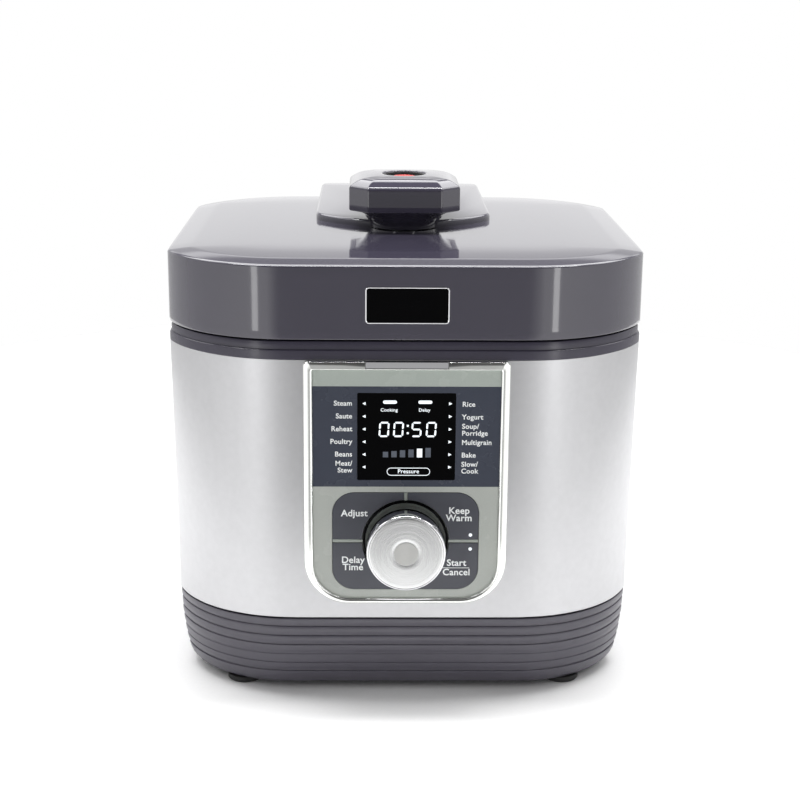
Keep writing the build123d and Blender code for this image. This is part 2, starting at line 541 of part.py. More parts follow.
def make_cup():
    holder = box(-47, 47, HALF_D + 0.1, HALF_D + 2.0, 146, 216)
    holder += mirrored(box(44.6, 47, HALF_D + 2.0, HALF_D + 8.4, 150, 206))
    holder += mirrored(box(42.2, 47, HALF_D + 6.6, HALF_D + 8.4, 150, 206))
    holder -= bar_y(4.6, 170, 140, 0, 211)
    parts["cup_holder"] = holder
    cup = box(-41.4, 41.4, HALF_D + 2.6, REACH_Y - 3, 152, 204)
    cup = fillet(cup.edges().filter_by(Axis.Z).group_by(Axis.Y)[-1], 9)
    cup -= fillet(
        box(-39.6, 39.6, HALF_D + 4.4, REACH_Y - 4.8, 153.8, 206).edges().filter_by(Axis.Z).group_by(Axis.Y)[-1], 7.2
    )
    cup += mirrored(box(41.4, 44.0, HALF_D + 2.8, HALF_D + 6.0, 156, 200))
    parts["condensate_cup"] = cup
    pipe = post(4.0, 207, 235.9, 0, 147) + bar_y(4.0, HALF_D + 8, 147, 0, 211)
    pipe -= post(2.6, 211, 240, 0, 147)
    pipe -= bar_y(2.6, HALF_D + 9, 147, 0, 211)
    parts["drain_pipe"] = pipe


def make_handle():
    """The turn handle and everything that turns with it, down to the lock ring."""
    grip = extrude(octagon(GRIP_HALF, GRIP_FACET, GRIP_BOTTOM), GRIP_WALL_TOP - GRIP_BOTTOM)
    grip = fillet(grip.edges().filter_by(Axis.Z), 2.0)
    # sloping shoulder, then a low dome
    shoulder_rise = 8.0
    slope_in = 9.6
    facet_in = GRIP_FACET - slope_in * (2 ** 0.5 - 1)
    top = loft([octagon(GRIP_HALF - 0.15, GRIP_FACET - 0.06, GRIP_WALL_TOP),
                octagon(GRIP_HALF - slope_in, facet_in, GRIP_WALL_TOP + shoulder_rise)], ruled=True)
    top = fillet(top.edges().filter_by(lambda e: abs((e % 0.5).Z) > 0.3), 1.7)
    dome_r = 120.0
    dome = Pos(0, POT_Y, GRIP_TOP + 1.2 - dome_r) * Sphere(dome_r)
    grip += top & dome
    cavity = extrude(octagon(GRIP_HALF - 3, GRIP_FACET - 1.2, GRIP_BOTTOM - 1), GRIP_WALL_TOP - 3 - GRIP_BOTTOM + 1)
    grip -= cavity
    grip += post(RECESS_R + 3, GRIP_WALL_TOP - 6, GRIP_WALL_TOP - 2)
    grip -= post(RECESS_R, 300, 350)
    parts["handle_grip"] = grip

    neck = turned([(13.2, LID_TOP + 0.5), (NECK_R, LID_TOP + 0.5), (NECK_TOP_R, 307.5), (13.2, 307.5)])
    regular = 2 ** 0.5 - 1
    flare = loft([octagon(NECK_TOP_R, NECK_TOP_R * regular, 307.5),
                  octagon(GRIP_HALF - 4.5, GRIP_FACET - 1.5, GRIP_BOTTOM)], ruled=True)
    flare -= post(13.2, 300, 320)
    plug = extrude(octagon(GRIP_HALF - 3.2, GRIP_FACET - 1.3, GRIP_BOTTOM), 3) - post(13.2, 300, 330)
    parts["handle_neck"] = neck + flare + plug
    insert = tube(RECESS_R - 0.1, RECESS_R - 1.6, 331, GRIP_TOP - 0.9)
    insert += tube(RECESS_R - 0.1, 8.3, 331, 332.8)
    parts["handle_insert"] = insert

    hub = tube(13.0, 9.06, 257.2, 322)
    spider = tube(20, 9.06, 257.2, 259.2)
    for i in range(3):
        arm = Pos(0, POT_Y, 257.2) * Rot(0, 0, 30 + 120 * i) * Pos(68, 0, 0) * Box(112, 12, 2, align=MIN)
        spider += arm
    outer = LOCK_RING_R + LOCK_RING_T
    nut = tube(17.0, 12.5, 318.1, 322)
    parts["drive_spider"] = hub + spider + nut - post(9.06, 250, 330)
    lock = tube(outer, LOCK_RING_R, 234.8, 257.2)
    lock += tube(LOCK_RING_R + 1, 114, 255.2, 257.2)
    for i in range(EARS):
        angle = 90 - TURN_DEG + i * 360 / EARS
        lock += sector(FLANGE_R + 1.6, LOCK_RING_R + 1, angle, EAR_DEG, 234.8, 238.4)
    parts["lock_ring"] = lock


make_base()
make_body()
make_pots()
make_heater()
make_electrics()
make_panel()
make_keys()
make_knob()
make_release()
make_lid()
make_valves()
make_spine()
make_hinge()
make_cup()
make_handle()

for name, shape in parts.items():
    export_step(shape, f"parts/{name}.step")
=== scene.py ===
"""Looks for an electric pressure cooker with a hinged lid. Metres, +Z up, front towards -Y.

Shapes are written in millimetres and scaled by MM when their mesh is made.
"""

import json
from math import asin, cos, degrees, hypot, pi, radians, sin, sqrt, tan

import bmesh
import bpy
import numpy as np
from mathutils import Matrix, Vector


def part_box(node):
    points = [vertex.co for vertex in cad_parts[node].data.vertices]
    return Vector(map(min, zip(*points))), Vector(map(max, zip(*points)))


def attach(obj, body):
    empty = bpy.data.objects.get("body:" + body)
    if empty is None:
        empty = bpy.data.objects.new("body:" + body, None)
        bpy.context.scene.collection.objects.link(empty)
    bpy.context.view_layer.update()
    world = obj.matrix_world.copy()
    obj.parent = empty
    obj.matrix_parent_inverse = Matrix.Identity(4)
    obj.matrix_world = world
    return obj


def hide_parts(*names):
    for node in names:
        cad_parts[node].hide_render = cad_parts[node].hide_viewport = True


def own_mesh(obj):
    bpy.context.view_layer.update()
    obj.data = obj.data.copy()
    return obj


MM = 0.001

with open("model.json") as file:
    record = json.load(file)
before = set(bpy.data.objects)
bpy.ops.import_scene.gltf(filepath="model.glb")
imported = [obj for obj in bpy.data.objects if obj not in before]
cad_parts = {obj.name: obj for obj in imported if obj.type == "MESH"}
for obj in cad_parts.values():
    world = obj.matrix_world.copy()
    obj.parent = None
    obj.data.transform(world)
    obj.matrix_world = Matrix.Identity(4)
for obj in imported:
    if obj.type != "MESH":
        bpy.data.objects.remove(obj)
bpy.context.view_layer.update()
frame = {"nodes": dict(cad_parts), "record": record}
NODES = frame["nodes"]


def node_box(name):
    """A CAD node's lowest and highest corner, in millimetres."""
    low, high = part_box(name)
    return low / MM, high / MM


# --- Driving sizes, read from the frame where a node gives them ---
LID_LOW, LID_HIGH = node_box("lid_shell")
SKIN_LOW, SKIN_HIGH = node_box("body_skin")
BASE_LOW, BASE_HIGH = node_box("base_shell")
RING_LOW, RING_HIGH = node_box("upper_ring")
GRIP_LOW, GRIP_HIGH = node_box("handle_grip")
NECK_LOW = node_box("handle_neck")[0]
COVER_LOW, COVER_HIGH = node_box("hinge_cover")
FRAME_LOW, FRAME_HIGH = node_box("panel_frame")
FILM_LOW, FILM_HIGH = node_box("panel_film")
LENS_LOW = node_box("screen_lens")[0]
FACE_LOW, FACE_HIGH = node_box("knob_face")
SKIRT_LOW, SKIRT_HIGH = node_box("knob_skirt")
HALF_W, HALF_D = LID_HIGH.x, LID_HIGH.y
FLAT_X, FLAT_Y = 85.0, 97.5  # half lengths of the straight front and side faces
# a corner curve's two inner control points, as shares of the way from its ends towards the corner
LEAVE_X, LEAVE_Y, ARRIVE_X, ARRIVE_Y = 0.452, 0.057, 0.159, 0.555
POT_Y = (GRIP_LOW.y + GRIP_HIGH.y) / 2
KNOB_Z = (FACE_LOW.z + FACE_HIGH.z) / 2
FRONT = FILM_LOW.y  # outer face of the panel film


# --- Mesh helpers ---
SHARP_DEG = 35.0  # an edge that turns by more than this is shaded sharp


def add_object(name, mesh, body, material, replaces=()):
    piece = bpy.data.objects.new(name, mesh)
    bpy.context.scene.collection.objects.link(piece)
    mesh.materials.append(material)
    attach(piece, body)
    if replaces:
        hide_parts(*replaces)
    return piece


def build(name, shape, body, material, replaces=(), sharp_deg=SHARP_DEG):
    """A smooth-shaded piece from points, in millimetres, and faces."""
    points, faces = shape
    mesh = bpy.data.meshes.new(name)
    mesh.from_pydata([Vector(p) * MM for p in points], [], faces)
    clean = bmesh.new()
    clean.from_mesh(mesh)
    bmesh.ops.remove_doubles(clean, verts=clean.verts, dist=1e-7)
    bmesh.ops.recalc_face_normals(clean, faces=clean.faces)
    clean.to_mesh(mesh)
    clean.free()
    mesh.shade_smooth()
    mesh.set_sharp_from_angle(angle=radians(sharp_deg))
    return add_object(name, mesh, body, material, replaces)


def rings_to_mesh(rings, close_profile=False, cap_start=False, cap_end=False, skip=None):
    """Points and quads through rings of equal length; skip(centre) leaves a quad out."""
    n = len(rings[0])
    points = [p for ring in rings for p in ring]
    pairs = list(zip(range(len(rings) - 1), range(1, len(rings))))
    if close_profile:
        pairs.append((len(rings) - 1, 0))
    faces = []
    for a, b in pairs:
        for i in range(n):
            j = (i + 1) % n
            quad = (a * n + i, a * n + j, b * n + j, b * n + i)
            if skip:
                centre = [sum(points[k][axis] for k in quad) / 4 for axis in range(3)]
                if skip(centre):
                    continue
            faces.append(quad)
    if cap_start:
        faces.append(tuple(reversed(range(n))))
    if cap_end:
        faces.append(tuple(range((len(rings) - 1) * n, len(rings) * n)))
    return points, faces


def arc(cx, cy, r, start_deg, end_deg, steps):
    """Points on an arc, both ends included."""
    found = []
    for i in range(steps + 1):
        t = radians(start_deg + (end_deg - start_deg) * i / steps)
        found.append((cx + r * cos(t), cy + r * sin(t)))
    return found


def bezier(p0, p1, p2, p3, steps):
    """Points on a cubic curve, its end left out."""
    found = []
    for t in (i / steps for i in range(steps)):
        s = 1 - t
        weights = (s ** 3, 3 * s * s * t, 3 * s * t * t, t ** 3)
        found.append(tuple(sum(w * p[k] for w, p in zip(weights, (p0, p1, p2, p3))) for k in (0, 1)))
    return found


def straight(p0, p1, steps):
    """Points on a line, its end left out."""
    return [tuple(a + (b - a) * i / steps for a, b in zip(p0, p1)) for i in range(steps)]


def eased(ring, reach):
    """A closed outline with its corners eased.

    Each point moves to the mean of the outline within reach of it, measured along the outline.
    The reach is one number, or one for each point.
    """
    corners = np.array(ring + ring[:1])
    sides = np.linalg.norm(np.diff(corners, axis=0), axis=1)
    along = np.concatenate(([0.0], np.cumsum(sides)))
    means = (corners[:-1] + corners[1:]) / 2
    summed = np.concatenate(([[0.0, 0.0]], np.cumsum(means * sides[:, None], axis=0)))

    def upto(place):
        laps = np.floor(place / along[-1])
        rest = place - laps * along[-1]
        i = np.searchsorted(along, rest, side="right") - 1
        i = np.clip(i, 0, len(sides) - 1)
        part = (rest - along[i])[:, None]
        here = corners[i] + (corners[i + 1] - corners[i]) * part / sides[i][:, None]
        return laps[:, None] * summed[-1] + summed[i] + (corners[i] + here) / 2 * part

    reach = np.broadcast_to(np.asarray(reach, dtype=float), sides.shape)
    middle = (upto(along[:-1] + reach) - upto(along[:-1] - reach)) / (2 * reach[:, None])
    return [tuple(map(float, p)) for p in middle]


CORNER_STEPS, SIDE_STEPS, FRONT_PART_STEPS, BACK_PART_STEPS = 40, 10, 6, 3
FRONT_EASE, SIDE_EASE = 14.0, 4.0  # how far the easing reaches on the front and back, and on the sides
EASE_FROM_X, EASE_TO_X = 115.0, 150.0  # between these the one reach passes into the other
FRONT_STOPS = (60.0, 26.3)  # columns on the front face where an opening's edges fall
BACK_STOPS = (FLAT_X, 14.0, -14.0, -FLAT_X)


def plan(half_w, half_d, inset=0.0, ease=FRONT_EASE):
    """The body's outline in plan, from the left of the front face anticlockwise."""
    w, d = half_w - inset, half_d - inset
    ax, ay = FLAT_X + LEAVE_X * (w - FLAT_X), d - LEAVE_Y * (d - FLAT_Y)
    bx, by = w - ARRIVE_X * (w - FLAT_X), FLAT_Y + ARRIVE_Y * (d - FLAT_Y)
    stops = [-FLAT_X, *(-stop for stop in FRONT_STOPS), *reversed(FRONT_STOPS), FLAT_X]
    ring = []
    for a, b in zip(stops, stops[1:]):
        ring += straight((a, -d), (b, -d), FRONT_PART_STEPS)
    ring += bezier((FLAT_X, -d), (ax, -ay), (bx, -by), (w, -FLAT_Y), CORNER_STEPS)
    ring += straight((w, -FLAT_Y), (w, FLAT_Y), SIDE_STEPS)
    ring += bezier((w, FLAT_Y), (bx, by), (ax, ay), (FLAT_X, d), CORNER_STEPS)
    for a, b in zip(BACK_STOPS, BACK_STOPS[1:]):
        ring += straight((a, d), (b, d), BACK_PART_STEPS)
    ring += bezier((-FLAT_X, d), (-ax, ay), (-bx, by), (-w, FLAT_Y), CORNER_STEPS)
    ring += straight((-w, FLAT_Y), (-w, -FLAT_Y), SIDE_STEPS)
    ring += bezier((-w, -FLAT_Y), (-bx, -by), (-ax, -ay), (-FLAT_X, -d), CORNER_STEPS)
    shares = [min(1.0, max(0.0, (EASE_TO_X - abs(x)) / (EASE_TO_X - EASE_FROM_X))) for x, _ in ring]
    return eased(ring, [SIDE_EASE + (ease - SIDE_EASE) * share for share in shares])


def at_height(ring, z):
    return [(x, y, z) for x, y in ring]


def towards_circle(ring, r, share, z):
    """The ring moved part of the way in to a circle about the pot's axis."""
    found = []
    for x, y in ring:
        length = hypot(x, y - POT_Y)
        tx, ty = r * x / length, POT_Y + r * (y - POT_Y) / length
        found.append((x + (tx - x) * share, y + (ty - y) * share, z))
    return found


def turned_front(profile, n=128):
    """Rings about the knob's axis from (radius, y) points."""
    turns = [2 * pi * i / n for i in range(n)]
    return [[(r * cos(turn), y, KNOB_Z + r * sin(turn)) for turn in turns] for r, y in profile]


# --- Materials ---
NOISE_FROM, NOISE_TO = 0.3, 0.7  # the part of a noise's range that most of it falls in
MOTTLE_SCALE = 0.08  # the colour's mottle is this much coarser than the grain
RELIEF_M, SPUN_RELIEF_M, FILM_RELIEF_M = 0.0002, 0.00005, 0.0001


MATERIALS = {}


def new_material(name):
    made = MATERIALS[name] = bpy.data.materials.new(name)
    made.use_nodes = True
    return made, made.node_tree.nodes, made.node_tree.links, made.node_tree.nodes["Principled BSDF"]


def add_node(nodes, kind, **inputs):
    """A node with some inputs set; an underscore in a name stands for a space."""
    made = nodes.new("ShaderNode" + kind)
    for name, value in inputs.items():
        made.inputs[name.replace("_", " ")].default_value = value
    return made


def spread(nodes, links, value, low, high, to_low=0.0, to_high=1.0):
    """A value from low to high mapped to another range."""
    made = add_node(nodes, "MapRange", From_Min=low, From_Max=high, To_Min=to_low, To_Max=to_high)
    links.new(value, made.inputs["Value"])
    return made.outputs["Result"]


def object_coords(nodes, links, **mapping_inputs):
    """Object coordinates, moved or scaled so that a pattern can run along one direction."""
    coords = add_node(nodes, "TexCoord")
    mapping = add_node(nodes, "Mapping", **mapping_inputs)
    links.new(coords.outputs["Object"], mapping.inputs["Vector"])
    return mapping.outputs["Vector"]


def noise_ramp(nodes, links, vector, scale, low, high, detail=4.0):
    """A noise as it is, and mapped from low to high."""
    noise = add_node(nodes, "TexNoise", Scale=scale, Detail=detail)
    links.new(vector, noise.inputs["Vector"])
    fac = noise.outputs["Fac"]
    return fac, spread(nodes, links, fac, NOISE_FROM, NOISE_TO, low, high)


def color_ramp(nodes, stops):
    """A colour ramp node with a stop for each (place, colour)."""
    made = nodes.new("ShaderNodeValToRGB")
    elements = made.color_ramp.elements
    for i, (place, color) in enumerate(stops):
        stop = elements[i] if i < len(elements) else elements.new(place)
        stop.position = place
        stop.color = (*color, 1.0)
    return made


def shade(color, factor):
    return tuple(min(1.0, c * factor) for c in color[:3]) + (1.0,)


def add_tint(nodes, links, shader, factor, darker, lighter):
    """The base colour, mixed between two tones by a factor."""
    mix = nodes.new("ShaderNodeMix")
    mix.data_type = "RGBA"
    mix.inputs["A"].default_value = darker
    mix.inputs["B"].default_value = lighter
    links.new(factor, mix.inputs["Factor"])
    links.new(mix.outputs["Result"], shader.inputs["Base Color"])


def add_relief(nodes, links, shader, height, strength, distance):
    relief = add_node(nodes, "Bump", Strength=strength, Distance=distance)
    links.new(height, relief.inputs["Height"])
    links.new(relief.outputs["Normal"], shader.inputs["Normal"])


def surface(name, color, rough, metallic=0.0, grain=900.0, stretch=(1, 1, 1), bump=0.04, tint=0.06,
            rough_vary=0.12, coat=0.0, ior=1.5, transmission=0.0):
    """A surface whose colour, roughness and relief all vary a little at the scale of its own grain."""
    made, nodes, links, shader = new_material(name)
    vector = object_coords(nodes, links, Scale=stretch)
    _, mottle = noise_ramp(nodes, links, vector, grain * MOTTLE_SCALE, 0.0, 1.0)
    add_tint(nodes, links, shader, mottle, shade(color, 1 - tint), shade(color, 1 + tint))
    smoothest, roughest = rough * (1 - rough_vary), rough * (1 + rough_vary)
    fine, rough_out = noise_ramp(nodes, links, vector, grain, smoothest, roughest)
    links.new(rough_out, shader.inputs["Roughness"])
    add_relief(nodes, links, shader, fine, bump, RELIEF_M)
    values = {"Metallic": metallic, "IOR": ior, "Coat Weight": coat, "Coat Roughness": 0.03}
    values["Transmission Weight"] = transmission
    for socket, value in values.items():
        shader.inputs[socket].default_value = value
    return made


def spun(name, color, rough, pitch, strength, anisotropic):
    """Metal turned on a lathe about Y: fine rings, and a highlight that fans out from the middle."""
    made, nodes, links, shader = new_material(name)
    centred = object_coords(nodes, links, Location=(0, 0, -KNOB_Z * MM))
    split = add_node(nodes, "SeparateXYZ")
    links.new(centred, split.inputs["Vector"])
    flat = add_node(nodes, "CombineXYZ")
    links.new(split.outputs["X"], flat.inputs["X"])
    links.new(split.outputs["Z"], flat.inputs["Y"])
    length = add_node(nodes, "VectorMath")
    length.operation = "LENGTH"
    links.new(flat.outputs["Vector"], length.inputs[0])
    line = add_node(nodes, "CombineXYZ")
    links.new(length.outputs["Value"], line.inputs["X"])
    vector = line.outputs["Vector"]
    grain = 1.0 / (pitch * MM)
    fine, rough_out = noise_ramp(nodes, links, vector, grain, rough * 0.8, rough * 1.25, detail=6.0)
    links.new(rough_out, shader.inputs["Roughness"])
    _, mottle = noise_ramp(nodes, links, vector, 0.6 / (pitch * MM), 0.0, 1.0)
    add_tint(nodes, links, shader, mottle, shade(color, 0.80), shade(color, 1.12))
    add_relief(nodes, links, shader, fine, strength, SPUN_RELIEF_M)
    tangent = add_node(nodes, "Tangent")
    tangent.direction_type = "RADIAL"
    tangent.axis = "Y"
    links.new(tangent.outputs["Tangent"], shader.inputs["Tangent"])
    shader.inputs["Metallic"].default_value = 1.0
    shader.inputs["Anisotropic"].default_value = anisotropic
    return made


def printed_film(name):
    """The panel's print: a light strip, a slate band round the screen and a grey-green field below."""
    made, nodes, links, shader = new_material(name)
    split = add_node(nodes, "SeparateXYZ")
    links.new(add_node(nodes, "TexCoord").outputs["Object"], split.inputs["Vector"])
    height = spread(nodes, links, split.outputs["Z"], FILM_LOW.z * MM, FILM_HIGH.z * MM)
    band_low, band_high = [(z - FILM_LOW.z) / (FILM_HIGH.z - FILM_LOW.z) for z in (BAND_LOW, BAND_HIGH)]
    bands = color_ramp(nodes, [(0.0, FIELD_GREY), (band_low, SLATE), (band_high, STRIP_GREY)])
    bands.color_ramp.interpolation = "CONSTANT"
    links.new(height, bands.inputs["Fac"])
    vector = object_coords(nodes, links)
    fine, mottle = noise_ramp(nodes, links, vector, 2500.0, 0.94, 1.05)
    tone = add_node(nodes, "VectorMath")
    tone.operation = "SCALE"
    links.new(bands.outputs["Color"], tone.inputs[0])
    links.new(mottle, tone.inputs["Scale"])
    links.new(tone.outputs["Vector"], shader.inputs["Base Color"])
    add_relief(nodes, links, shader, fine, 0.03, FILM_RELIEF_M)
    _, rough = noise_ramp(nodes, links, vector, 60.0, 0.22, 0.30)
    links.new(rough, shader.inputs["Roughness"])
    shader.inputs["IOR"].default_value = 1.38
    return made


def lit(name, color, strength):
    """A lit segment: its glow varies a little over its face, as a diffused lamp does."""
    made, nodes, links, shader = new_material(name)
    vector = object_coords(nodes, links)
    _, glow = noise_ramp(nodes, links, vector, 700.0, strength * 0.92, strength * 1.05)
    shader.inputs["Base Color"].default_value = shade(color, 0.6)
    shader.inputs["Emission Color"].default_value = color + (1.0,)
    links.new(glow, shader.inputs["Emission Strength"])
    shader.inputs["Roughness"].default_value = 0.4
    return made


BAND_LOW, BAND_HIGH = 150.3, 218.8  # lower and upper edge of the panel's slate band
FIELD_GREY = (0.43, 0.45, 0.42)
SLATE = (0.048, 0.055, 0.077)
KEY_SLATE = (0.070, 0.073, 0.088)
STRIP_GREY = (0.40, 0.44, 0.405)
VIOLET_GREY = (0.044, 0.040, 0.060)

dark_gloss = surface("dark_gloss", VIOLET_GREY, 0.10, grain=260, bump=0.02, tint=0.03, coat=0.6, ior=1.6)
dark_satin = surface("dark_satin", (0.070, 0.065, 0.085), 0.33, grain=1600, bump=0.10, tint=0.05, ior=1.6)
dark_satin_gloss = surface("dark_satin_gloss", VIOLET_GREY, 0.22, grain=1200, bump=0.05, tint=0.04)
brushed_wrap = surface("brushed_wrap", (0.53, 0.53, 0.541), 0.36, 1.0, 2600, bump=0.05, tint=0.02,
                       rough_vary=0.10)
surface("stainless", (0.62, 0.62, 0.61), 0.24, 1.0, 500, (0.3, 0.3, 12), 0.06, 0.05, 0.2)
zinc_steel = surface("zinc_steel", (0.56, 0.57, 0.58), 0.32, 1.0, 300, (1, 1, 1), 0.05, 0.12, 0.25)
surface("aluminium_cast", (0.70, 0.70, 0.70), 0.38, 1.0, 700, (1, 1, 1), 0.12, 0.08)
chrome = surface("chrome", (0.80, 0.80, 0.82), 0.07, 1.0, 200, (1, 1, 1), 0.01, 0.02, 0.3)
frame_silver = surface("frame_silver", (0.88, 0.89, 0.86), 0.12, 1.0, 800, (1, 1, 1), 0.03, 0.03)
surface("key_slate", KEY_SLATE, 0.20, grain=900, bump=0.03, tint=0.04, ior=1.42)
surface("black_gloss", (0.0015, 0.0015, 0.0018), 0.06, grain=300, bump=0.01, tint=0.1, ior=1.14)
surface("light_plastic", (0.32, 0.35, 0.32), 0.42, grain=1200, bump=0.08)
surface("black_plastic", (0.018, 0.018, 0.019), 0.42, grain=1500, bump=0.12, tint=0.12)
surface("rubber", (0.02, 0.02, 0.02), 0.75, grain=1800, bump=0.2, tint=0.15)
surface("silicone", (0.62, 0.62, 0.60), 0.45, grain=700, bump=0.05, tint=0.04)
surface("nonstick", (0.035, 0.035, 0.038), 0.33, grain=2600, bump=0.25, tint=0.5, rough_vary=0.3)
surface("red_plastic", (0.50, 0.015, 0.012), 0.25, grain=500, bump=0.03)
surface("board_green", (0.02, 0.12, 0.045), 0.38, grain=420, bump=0.08, tint=0.25)
surface("components", (0.03, 0.03, 0.033), 0.45, grain=900, bump=0.1, tint=0.3)
surface("clear_cup", (0.80, 0.84, 0.86), 0.09, grain=200, bump=0.02, tint=0.02, ior=1.46,
        transmission=0.85)
surface("brass", (0.70, 0.50, 0.20), 0.25, 1.0, 400, (1, 1, 1), 0.04, 0.08)
knob_aluminium = spun("knob_aluminium", (0.70, 0.705, 0.705), 0.24, 0.22, 0.9, anisotropic=0.2)
knob_pearl = surface("knob_pearl", (0.50, 0.50, 0.485), 0.42, 0.15, grain=1500, bump=0.04, tint=0.05)
printed_film("film_print")
ink_white = surface("ink_white", (0.86, 0.88, 0.88), 0.45, grain=1500, bump=0.03, tint=0.02)
lit_white = lit("lit_white", (0.90, 0.96, 1.0), 0.80)
dim_lit = lit("dim_lit", (0.12, 0.14, 0.18), 0.12)

# the material of each slot that isn't named after it
SLOT_MATERIAL = {"aluminium": "aluminium_cast", "film": "film_print", "board": "board_green"}


def dress_cad_nodes():
    """Every CAD node gets its slot's material and slightly rounded edges."""
    for row in frame["record"]["subparts"]:
        node = NODES[row["node"]]
        node.data.materials.clear()
        slot = row["material_slot"]
        node.data.materials.append(MATERIALS[SLOT_MATERIAL.get(slot, slot)])
        soften(node)


EDGE_ROUNDING = 0.35
WELD_M = 2e-6


def soften(node):
    """Rounded edges as modifiers, so that the CAD mesh itself stays as it is."""
    weld = node.modifiers.new("weld", "WELD")
    weld.merge_threshold = WELD_M
    edge = node.modifiers.new("edge", "BEVEL")
    edge.width = EDGE_ROUNDING * MM
    edge.segments = 2
    edge.limit_method = "ANGLE"
    edge.angle_limit = radians(40)
    edge.use_clamp_overlap = True
    edge.harden_normals = False


# --- Lid ---
LID_T = 2.6
LID_EDGE_R = 1.1
LID_HOLE_R = 15.0
LID_RIM_Z = LID_HIGH.z - 3.4
LID_BORDER, LID_MIDDLE = 46, 60  # the top keeps the outline's shape this far in, then closes to a circle
# the top's slope in degrees at a few insets: a sloping border, a soft crease, then almost level
LID_SLOPES = ((0.0, 9.5), (14.0, 7.0), (18.0, 2.4), (60.0, 0.0), (200.0, 0.0))
WINDOW_OPENING = (260.8, 283.2)
FRONT_FACE_Y = -150.0  # quads in front of this belong to the front face


def lid_slope(inset):
    for (i0, s0), (i1, s1) in zip(LID_SLOPES, LID_SLOPES[1:]):
        if inset <= i1:
            return s0 + (s1 - s0) * (inset - i0) / (i1 - i0)
    return 0.0


def lid_rise(inset, steps=80):
    """The top's height above its rim, summed from its slope."""
    part = inset / steps
    return sum(tan(radians(lid_slope((i + 0.5) * part))) * part for i in range(steps))


def make_lid():
    foot = LID_LOW.z
    rings = []
    for inset, z in ((LID_T, foot), (0.7, foot), (0.2, foot + 0.2), (0.0, foot + 0.7)):
        rings.append(at_height(plan(HALF_W, HALF_D, inset), z))
    for z in (255.0, *WINDOW_OPENING, 290.0, LID_RIM_Z - LID_EDGE_R):
        rings.append(at_height(plan(HALF_W, HALF_D), z))
    for inset, up in arc(LID_EDGE_R, 0, LID_EDGE_R, 180, 98, 6)[1:]:
        rings.append(at_height(plan(HALF_W, HALF_D, inset), LID_RIM_Z - LID_EDGE_R + up))
    for inset in (1.6, 2.4, 3.6, 5, 7, 9.5, 12, 13.5, 14.5, 15.5, 16.5, 17.5, 19, 22, 27, 33, 39, LID_BORDER):
        rings.append(at_height(plan(HALF_W, HALF_D, inset), LID_RIM_Z + lid_rise(inset)))
    inner = plan(HALF_W, HALF_D, LID_BORDER)
    for share in (0.12, 0.25, 0.4, 0.55, 0.7, 0.85, 1.0):
        inset = LID_BORDER + share * LID_MIDDLE
        rings.append(towards_circle(inner, LID_HOLE_R, share, LID_RIM_Z + lid_rise(inset)))
    rings.append(towards_circle(inner, LID_HOLE_R, 1.0, LID_HIGH.z - LID_T))
    for share, z in ((0.5, LID_HIGH.z - LID_T), (0.0, LID_RIM_Z + lid_rise(LID_BORDER) - LID_T)):
        rings.append(towards_circle(inner, LID_HOLE_R, share, z))
    rings.append(at_height(plan(HALF_W, HALF_D, LID_T + 2), LID_RIM_Z - LID_T))
    rings.append(at_height(plan(HALF_W, HALF_D, LID_T), LID_RIM_Z - LID_T - 2))

    def window(c):
        low, high = WINDOW_OPENING
        return c[1] < FRONT_FACE_Y and abs(c[0]) < FRONT_STOPS[1] and low < c[2] < high

    shape = rings_to_mesh(rings, close_profile=True, skip=window)
    build("lid_dome", shape, "lid", dark_gloss, ["lid_shell"])


# --- Body: ribbed base, steel wrap, upper ring ---
SPIGOT = 8.0  # the part of the base that goes up inside the wrap
BASE_TOP = BASE_HIGH.z - SPIGOT
# (height, inset) of the base's outside
BASE_LEVELS = [
    (BASE_LOW.z, 13.0), (BASE_LOW.z + 0.5, 11.2), (5.4, 9.6), (6.8, 8.3), (8.5, 7.2), (11.0, 6.0),
    (14.7, 5.0), (20.0, 3.8), (27.0, 2.6), (40.0, 1.0), (BASE_TOP, 0.3),
]
GROOVES, GROOVE_FIRST, GROOVE_PITCH, GROOVE_H, GROOVE_DEEP = 6, 15.0, 6.9, 1.0, 0.9
WALL = 2.5
TAPER = 2.5  # how much narrower the body is at the wrap's foot, on each side
BASE_SET_BACK = 1.2  # of the base's front and back
UNDERSIDE_RIM = 17.0  # how far the base's foot turns in underneath
INLET_OPENING = (25.0, 45.0)


def base_inset(z):
    for (z0, i0), (z1, i1) in zip(BASE_LEVELS, BASE_LEVELS[1:]):
        if z0 <= z <= z1:
            return i0 + (i1 - i0) * (z - z0) / (z1 - z0)
    return BASE_LEVELS[-1][1]


